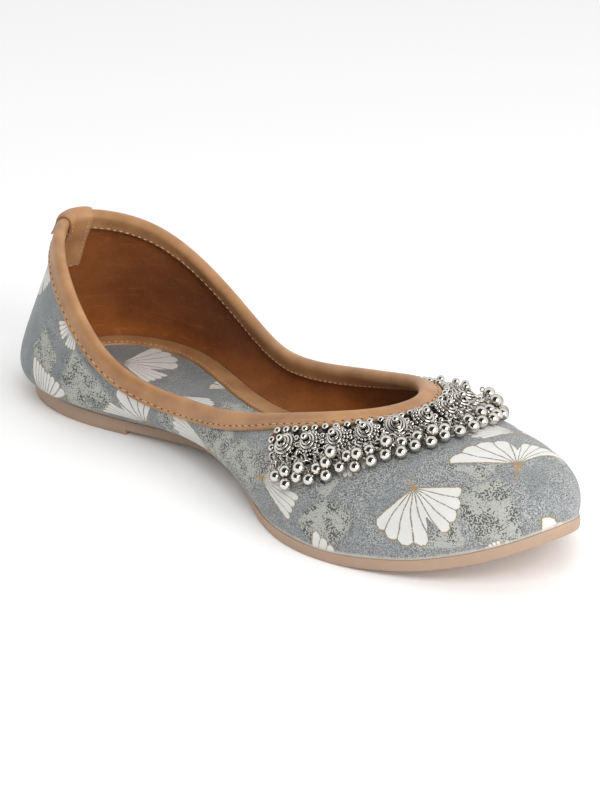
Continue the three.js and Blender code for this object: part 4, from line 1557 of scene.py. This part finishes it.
@dataclass
class BellTrim:
    """The silver band round the throat: beehive rosettes, rows of beads, and hanging bells."""

    last: Last
    units: int = 12
    pitch: float = 9.4
    row: float = 11.8
    # Rosette: its core's radii and heights, then its wire coils and its rings of small balls.
    core: tuple[tuple[float, float], ...] = (
        (0.0, 0.0), (3.3, 0.0), (2.7, 0.9), (1.9, 1.7), (1.1, 2.3), (0.0, 2.4),
    )
    coils: tuple[tuple[float, float, float], ...] = (
        (3.1, 1.3, 0.44), (2.25, 2.0, 0.42), (1.4, 2.55, 0.36),
    )
    grains: tuple[tuple[int, float, float], ...] = ((19, 3.75, 0.5), (16, 3.05, 1.35))
    grain_radius: float = 0.55
    crown_radius: float = 1.3
    crown_up: float = 3.6
    skirt_back: float = -0.7
    skirt_long: float = 1.2
    front_reach: float = 45.0
    front_tilt_deg: float = 26.0
    dome_drop: float = 0.3
    dome_stray: float = 0.3
    dome_lift: float = 0.9
    dome_tilt_deg: tuple[float, float] = (-7.0, 3.0)
    dome_lean_deg: tuple[float, float] = (-8.0, 8.0)
    front_lift: float = 1.2
    # Beads above the rosettes and at the row's ends, and smaller ones between the rosettes.
    bead_radius: float = 1.35
    bead_pitch: float = 3.75
    bead_drop: float = -5.2
    end_drops: tuple[float, ...] = (-1.6, 1.4, 4.4)
    seed_radius: float = 1.1
    seed_drops: tuple[float, ...] = (-1.6, 1.0, 3.6)
    bell_radius: float = 2.1
    bell_apart: float = 1.94
    link_from: float = 3.6
    link_pitch: float = 2.5
    # Bells of the right side, which the left repeats, lowest first: length along the row and drop.
    hanging: tuple[tuple[float, float], ...] = (
        (-56.4, 13.2), (-53.7, 16.6), (-49.4, 14.4), (-45.9, 15.9), (-42.4, 12.4), (-40.4, 15.6),
        (-35.4, 13.6), (-31.4, 15.2), (-26.6, 15.2), (-22.4, 14.6), (-18.6, 15.8), (-14.6, 15.0),
        (-10.6, 15.8), (-6.4, 14.8), (-2.2, 15.6), (-38.4, 11.6), (-28.9, 12.2), (-20.6, 11.8),
        (-8.4, 12.4), (-52.2, 12.4), (-46.6, 12.4), (-35.2, 9.6), (-31.8, 10.8), (-25.4, 11.0),
        (-16.6, 11.4), (-11.9, 10.6), (-4.2, 11.2),
    )
    # A dark sheet under the trim paints the shade in the gaps between its metal parts.
    sheet_from: float = -4.6
    sheet_to: float = 8.2
    sheet_thick: float = 0.3
    sheet_columns: int = 180
    sheet_rows: int = 10
    # Stitches of the thread's end: length along the row, drop below it, turn in degrees and length.
    loose: tuple[tuple[float, ...], ...] = (
        (-57.4, -4.6, 25, 2.0), (-58.2, -4.0, -25, 1.7), (-57.0, -3.4, 40, 1.8),
    )
    stops: list[tuple[float, float]] = field(default_factory=list)

    def loop_along(self, along: float) -> float:
        """Give the loop position at a length along the row from the toe, right side negative."""
        if not self.stops:
            samples, furthest = 240, 0.26
            self.stops.append((0.0, 0.5))
            before = self.last.below(0.5, self.row)
            for i in range(1, samples + 1):
                loop = 0.5 + furthest * i / samples
                here = self.last.below(loop, self.row)
                self.stops.append((self.stops[-1][0] + (here - before).length, loop))
                before = here
        length = abs(along)
        reached = max(k for k, stop in enumerate(self.stops) if stop[0] <= length)
        i = min(reached, len(self.stops) - 2)
        (start, loop), (end, loop_end) = self.stops[i], self.stops[i + 1]
        turn = loop + (loop_end - loop) * (length - start) / (end - start) - 0.5
        return 0.5 + math.copysign(turn, along)

    def place(self, along: float, drop: float, lift: float) -> Matrix:
        """Give axes on the upper at a length along the row and a drop below it."""
        return self.last.frame_at(self.loop_along(along), self.row + drop, lift)

    def spot(self, along: float, drop: float, lift: float) -> Vector:
        """Give a point above the upper at a length along the row and a drop below it."""
        return self.place(along, drop, lift).translation

    def dome(self, along: float, rng: random.Random) -> Matrix:
        """Give a rosette's axes: a little uneven, and raised towards the toe at the front."""
        front = max(1 - abs(along) / self.front_reach, 0.0)
        drop = self.dome_drop + rng.uniform(-self.dome_stray, self.dome_stray)
        base = self.place(along, drop, self.last.GAP + self.dome_lift + self.front_lift * front)
        tilt_deg = rng.uniform(*self.dome_tilt_deg) + self.front_tilt_deg * front
        base = base @ Matrix.Rotation(math.radians(tilt_deg), 4, "X")
        return base @ Matrix.Rotation(math.radians(rng.uniform(*self.dome_lean_deg)), 4, "Y")

    def rosettes(self) -> Object:
        """Make the domes of wire coils, each with a bead on top, and the beads round them."""
        rng, gap = random.Random(7), self.last.GAP
        core = turned("core", self.core, 24)
        coils = [(wire_ring("coil", radius, wire, 28), high) for radius, high, wire in self.coils]
        grain = ball("grain", self.grain_radius, 9, 6)
        crown = ball("crown", self.crown_radius, 20, 13)
        bead, seed = ball("bead", self.bead_radius, 18, 11), ball("seed", self.seed_radius, 14, 9)
        bm = bmesh.new()
        for unit in range(self.units):
            base = self.dome((unit - (self.units - 1) / 2) * self.pitch, rng)
            skirt = base @ Matrix.Translation((0, self.skirt_back, 0))
            skirt = skirt @ Matrix.Diagonal((1.0, self.skirt_long, 1.0, 1.0))
            stamp(bm, core, skirt)
            plain = unit % 4 == 0
            for coil, height in coils if plain else coils[1:]:
                stamp(bm, coil, skirt @ Matrix.Translation((0, 0, height)))
            for count, radius, height in self.grains[:1] if plain else self.grains:
                for i in range(count):
                    turn = Matrix.Rotation(math.tau * i / count, 4, "Z")
                    stamp(bm, grain, skirt @ turn @ Matrix.Translation((radius, 0, height)))
            stamp(bm, crown, base @ Matrix.Translation((0, 0, self.crown_up)))
        reach = self.units * self.pitch / 2 - 1.5
        count = round(2 * reach / self.bead_pitch)
        for i in range(count + 1):
            drop = self.bead_drop + rng.uniform(-0.4, 0.4)
            stamp(bm, bead, self.place((2 * i / count - 1) * reach, drop, gap + self.bead_radius))
        for along in (-(reach + 2.1), reach + 2.1):
            for drop in self.end_drops:
                stamp(bm, bead, self.place(along, drop, gap + self.bead_radius))
        for unit in range(1, self.units):
            for drop in self.seed_drops:
                lift = gap + self.seed_radius + rng.uniform(0.0, 0.5)
                along = (unit - self.units / 2) * self.pitch + rng.uniform(-0.4, 0.4)
                stamp(bm, seed, self.place(along, drop, lift))
        nodes = [f"rosette_{unit + 1:02d}" for unit in range(self.units)]
        return finish_piece("rosette_band", bm, (SILVER,), nodes, 70.0)

    def settle(self) -> list[tuple[float, float, Matrix]]:
        """Lay the bells down one by one, each raised until it clears those below it.

        Returns:
            Each bell's length along the row, its drop and its axes.
        """
        laid: list[tuple[float, float, Matrix]] = []
        apart, sides = self.bell_apart * self.bell_radius, (1, -1)
        for along, drop in ((side * along, drop) for along, drop in self.hanging for side in sides):
            lift = self.last.GAP + self.bell_radius
            base = self.place(along, drop - 0.6, lift)
            while any((base.translation - other.translation).length < apart for *_, other in laid):
                lift += 0.2
                base = self.place(along, drop - 0.6, lift)
            laid.append((along, drop, base))
        return laid

    def bells(self) -> Object:
        """Hang the bells on chains of wire rings from the rosettes' lower edges."""
        rng, radius = random.Random(11), self.bell_radius
        bell = ball("bell", radius, 22, 15)
        eye = wire_ring("eye", 0.75, 0.26, 12)
        link = wire_ring("link", 1.8, 0.36, 20)
        bm = bmesh.new()
        for along, drop, base in self.settle():
            stamp(bm, bell, base @ Matrix.Rotation(rng.uniform(0, math.pi), 4, "X"))
            turn = Matrix.Rotation(rng.uniform(0.3, 2.8), 4, "Y")
            stamp(bm, eye, base @ Matrix.Translation((0, radius + 0.45, 0)) @ turn)
            chain = drop - radius - 0.8 - self.link_from
            links = max(round(chain / self.link_pitch), 1)
            for i in range(links):
                up = self.link_from + chain * (i + 0.5) / links
                spot = self.place(along + rng.uniform(-0.6, 0.6), up, 1.2 + rng.uniform(0.0, 0.8))
                tilt = Matrix.Rotation(math.radians(rng.uniform(10, 60) * (-1) ** i), 4, "Y")
                tilt = tilt @ Matrix.Rotation(math.radians(rng.uniform(-25, 25)), 4, "X")
                stamp(bm, link, spot @ tilt)
        nodes = [f"bell_cluster_{unit + 1:02d}" for unit in range(self.units)]
        return finish_piece("bell_fringe", bm, (SILVER,), nodes, 70.0)

    def shade_sheet(self) -> Object:
        """Lay a dark sheet under the trim that paints the shade between the metal parts."""
        reach = self.units * self.pitch / 2 - 2.2
        columns = [reach * (2 * i / self.sheet_columns - 1) for i in range(self.sheet_columns + 1)]
        width, rows = self.sheet_to - self.sheet_from, self.sheet_rows
        drops = [self.sheet_from + width * i / rows for i in range(rows + 1)]
        face, back = (
            [partial(self.spot, drop=drop, lift=lift) for drop in drops]
            for lift in (self.sheet_thick, 0.05)
        )
        bm = bmesh.new()
        lay_strip(bm, columns, face, back)
        return finish_piece("trim_shade_sheet", bm, (SHADE_SHEET,))

    def thread_end(self) -> Object:
        """Leave the trim's sewing thread showing at the end of the row."""
        bm = bmesh.new()
        stitch = ball("stitch", 0.5, 8, 5)
        for along, drop, turn_deg, length in self.loose:
            size = Matrix.Diagonal((length, 0.5, 0.5, 1.0))
            turn = Matrix.Rotation(math.radians(turn_deg), 4, "Z")
            stamp(bm, stitch, self.place(along, drop, 0.6) @ turn @ size)
        return finish_piece("trim_thread_end", bm, (RED_THREAD,))

    def build(self) -> list[Object]:
        """Make the rosettes, the bells, the painted-shade sheet under them and the thread that
        shows.
        """
        return [self.rosettes(), self.bells(), self.shade_sheet(), self.thread_end()]


@dataclass
class Studio:
    """A plain pale floor, soft light and the camera at the photograph's angle."""

    azimuth_deg: float = 47.578
    elevation_deg: float = 22.827
    distance_mm: float = 1092.309
    focal_px: float = 3280.245
    target_mm: tuple[float, float, float] = (6.643, -1.591, 25.295)
    image_px: tuple[int, int] = (600, 800)
    floor_half: float = 12.0
    dark_deg: tuple[float, float] = (30.0, 38.0)
    dark_range: tuple[float, ...] = (0.46, 0.72, 1.08, 0.05)
    # Lamps: name, azimuth and elevation, distance, power, size, whether they light, and shine.
    lamps: tuple[tuple[Any, ...], ...] = (
        ("key", (84.0, 29.0), 1.2, 7.0, 0.7, True, True),
        ("fill", (48.0, 52.0), 1.6, 10.0, 0.9, True, False),
        ("catch", (62.0, 17.0), 1.2, 2.6, 0.42, False, True),
    )

    def towards(self, angles_deg: tuple[float, float]) -> Vector:
        """Give the way to an azimuth, from the shoe's right side to its toe, and an elevation."""
        azimuth, elevation = (math.radians(angle) for angle in angles_deg)
        level = math.cos(elevation)
        return Vector((math.sin(azimuth) * level, -math.cos(azimuth) * level, math.sin(elevation)))

    def floor(self) -> None:
        """Lay the floor, a sheet of white paper."""
        bm = bmesh.new()
        bmesh.ops.create_grid(bm, x_segments=1, y_segments=1, size=self.floor_half)
        mesh = keep("floor", bm)
        mesh.materials.append(PAPER.material())
        floor = show("floor", mesh)

    def light(self) -> None:
        """Set a white room, dark behind the camera, with a soft key, a fill and a glint."""
        world = bpy.data.worlds.new("studio")
        bpy.context.scene.world = world
        world.use_nodes = True
        tree = world.node_tree
        where = add(tree, Kind.WHERE).outputs["Generated"]
        facing = add(tree, Kind.DOT, where, self.towards(self.dark_deg))
        shade = add(tree, Kind.RANGE, facing, *self.dark_range)
        feed(tree, tree.nodes["Background"].inputs["Color"], shade)
        for name, angles, distance, power, size, lights, shines in self.lamps:
            lamp = bpy.data.lights.new(name, "AREA")
            lamp.energy, lamp.size = power, size
            rig = show(name, lamp)
            rig.location = self.towards(angles) * distance
            rig.rotation_euler = (-rig.location).to_track_quat("-Z", "Y").to_euler()
            rig.visible_diffuse, rig.visible_glossy = lights, shines

    def camera(self) -> None:
        """Set up the camera."""
        back = self.towards((self.azimuth_deg, self.elevation_deg))
        lens = bpy.data.cameras.new("camera")
        lens.sensor_width = 36.0
        lens.lens = self.focal_px * lens.sensor_width / max(self.image_px)
        lens.clip_end = 50.0
        camera = show("camera", lens)
        camera.location = (Vector(self.target_mm) + back * self.distance_mm) * MM
        camera.rotation_euler = (-back).to_track_quat("-Z", "Y").to_euler()
        bpy.context.scene.camera = camera

    def build(self) -> None:
        """Build the whole studio, with colours shown as they are."""
        bpy.context.scene.view_settings.view_transform = "Standard"
        self.camera()
        self.floor()
        self.light()


def main() -> None:
    """Build the studio and the shoe's pieces in order."""
    logging.basicConfig(level=logging.INFO, format="%(name)s: %(message)s")
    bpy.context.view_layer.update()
    last = Last()
    Studio().build()
    for assembly in (Outsole, Upper, CollarBinding, HeelTab, Footbed, BellTrim):
        assembly(last).build()
    bpy.context.view_layer.update()


if __name__ == "__main__":
    main()
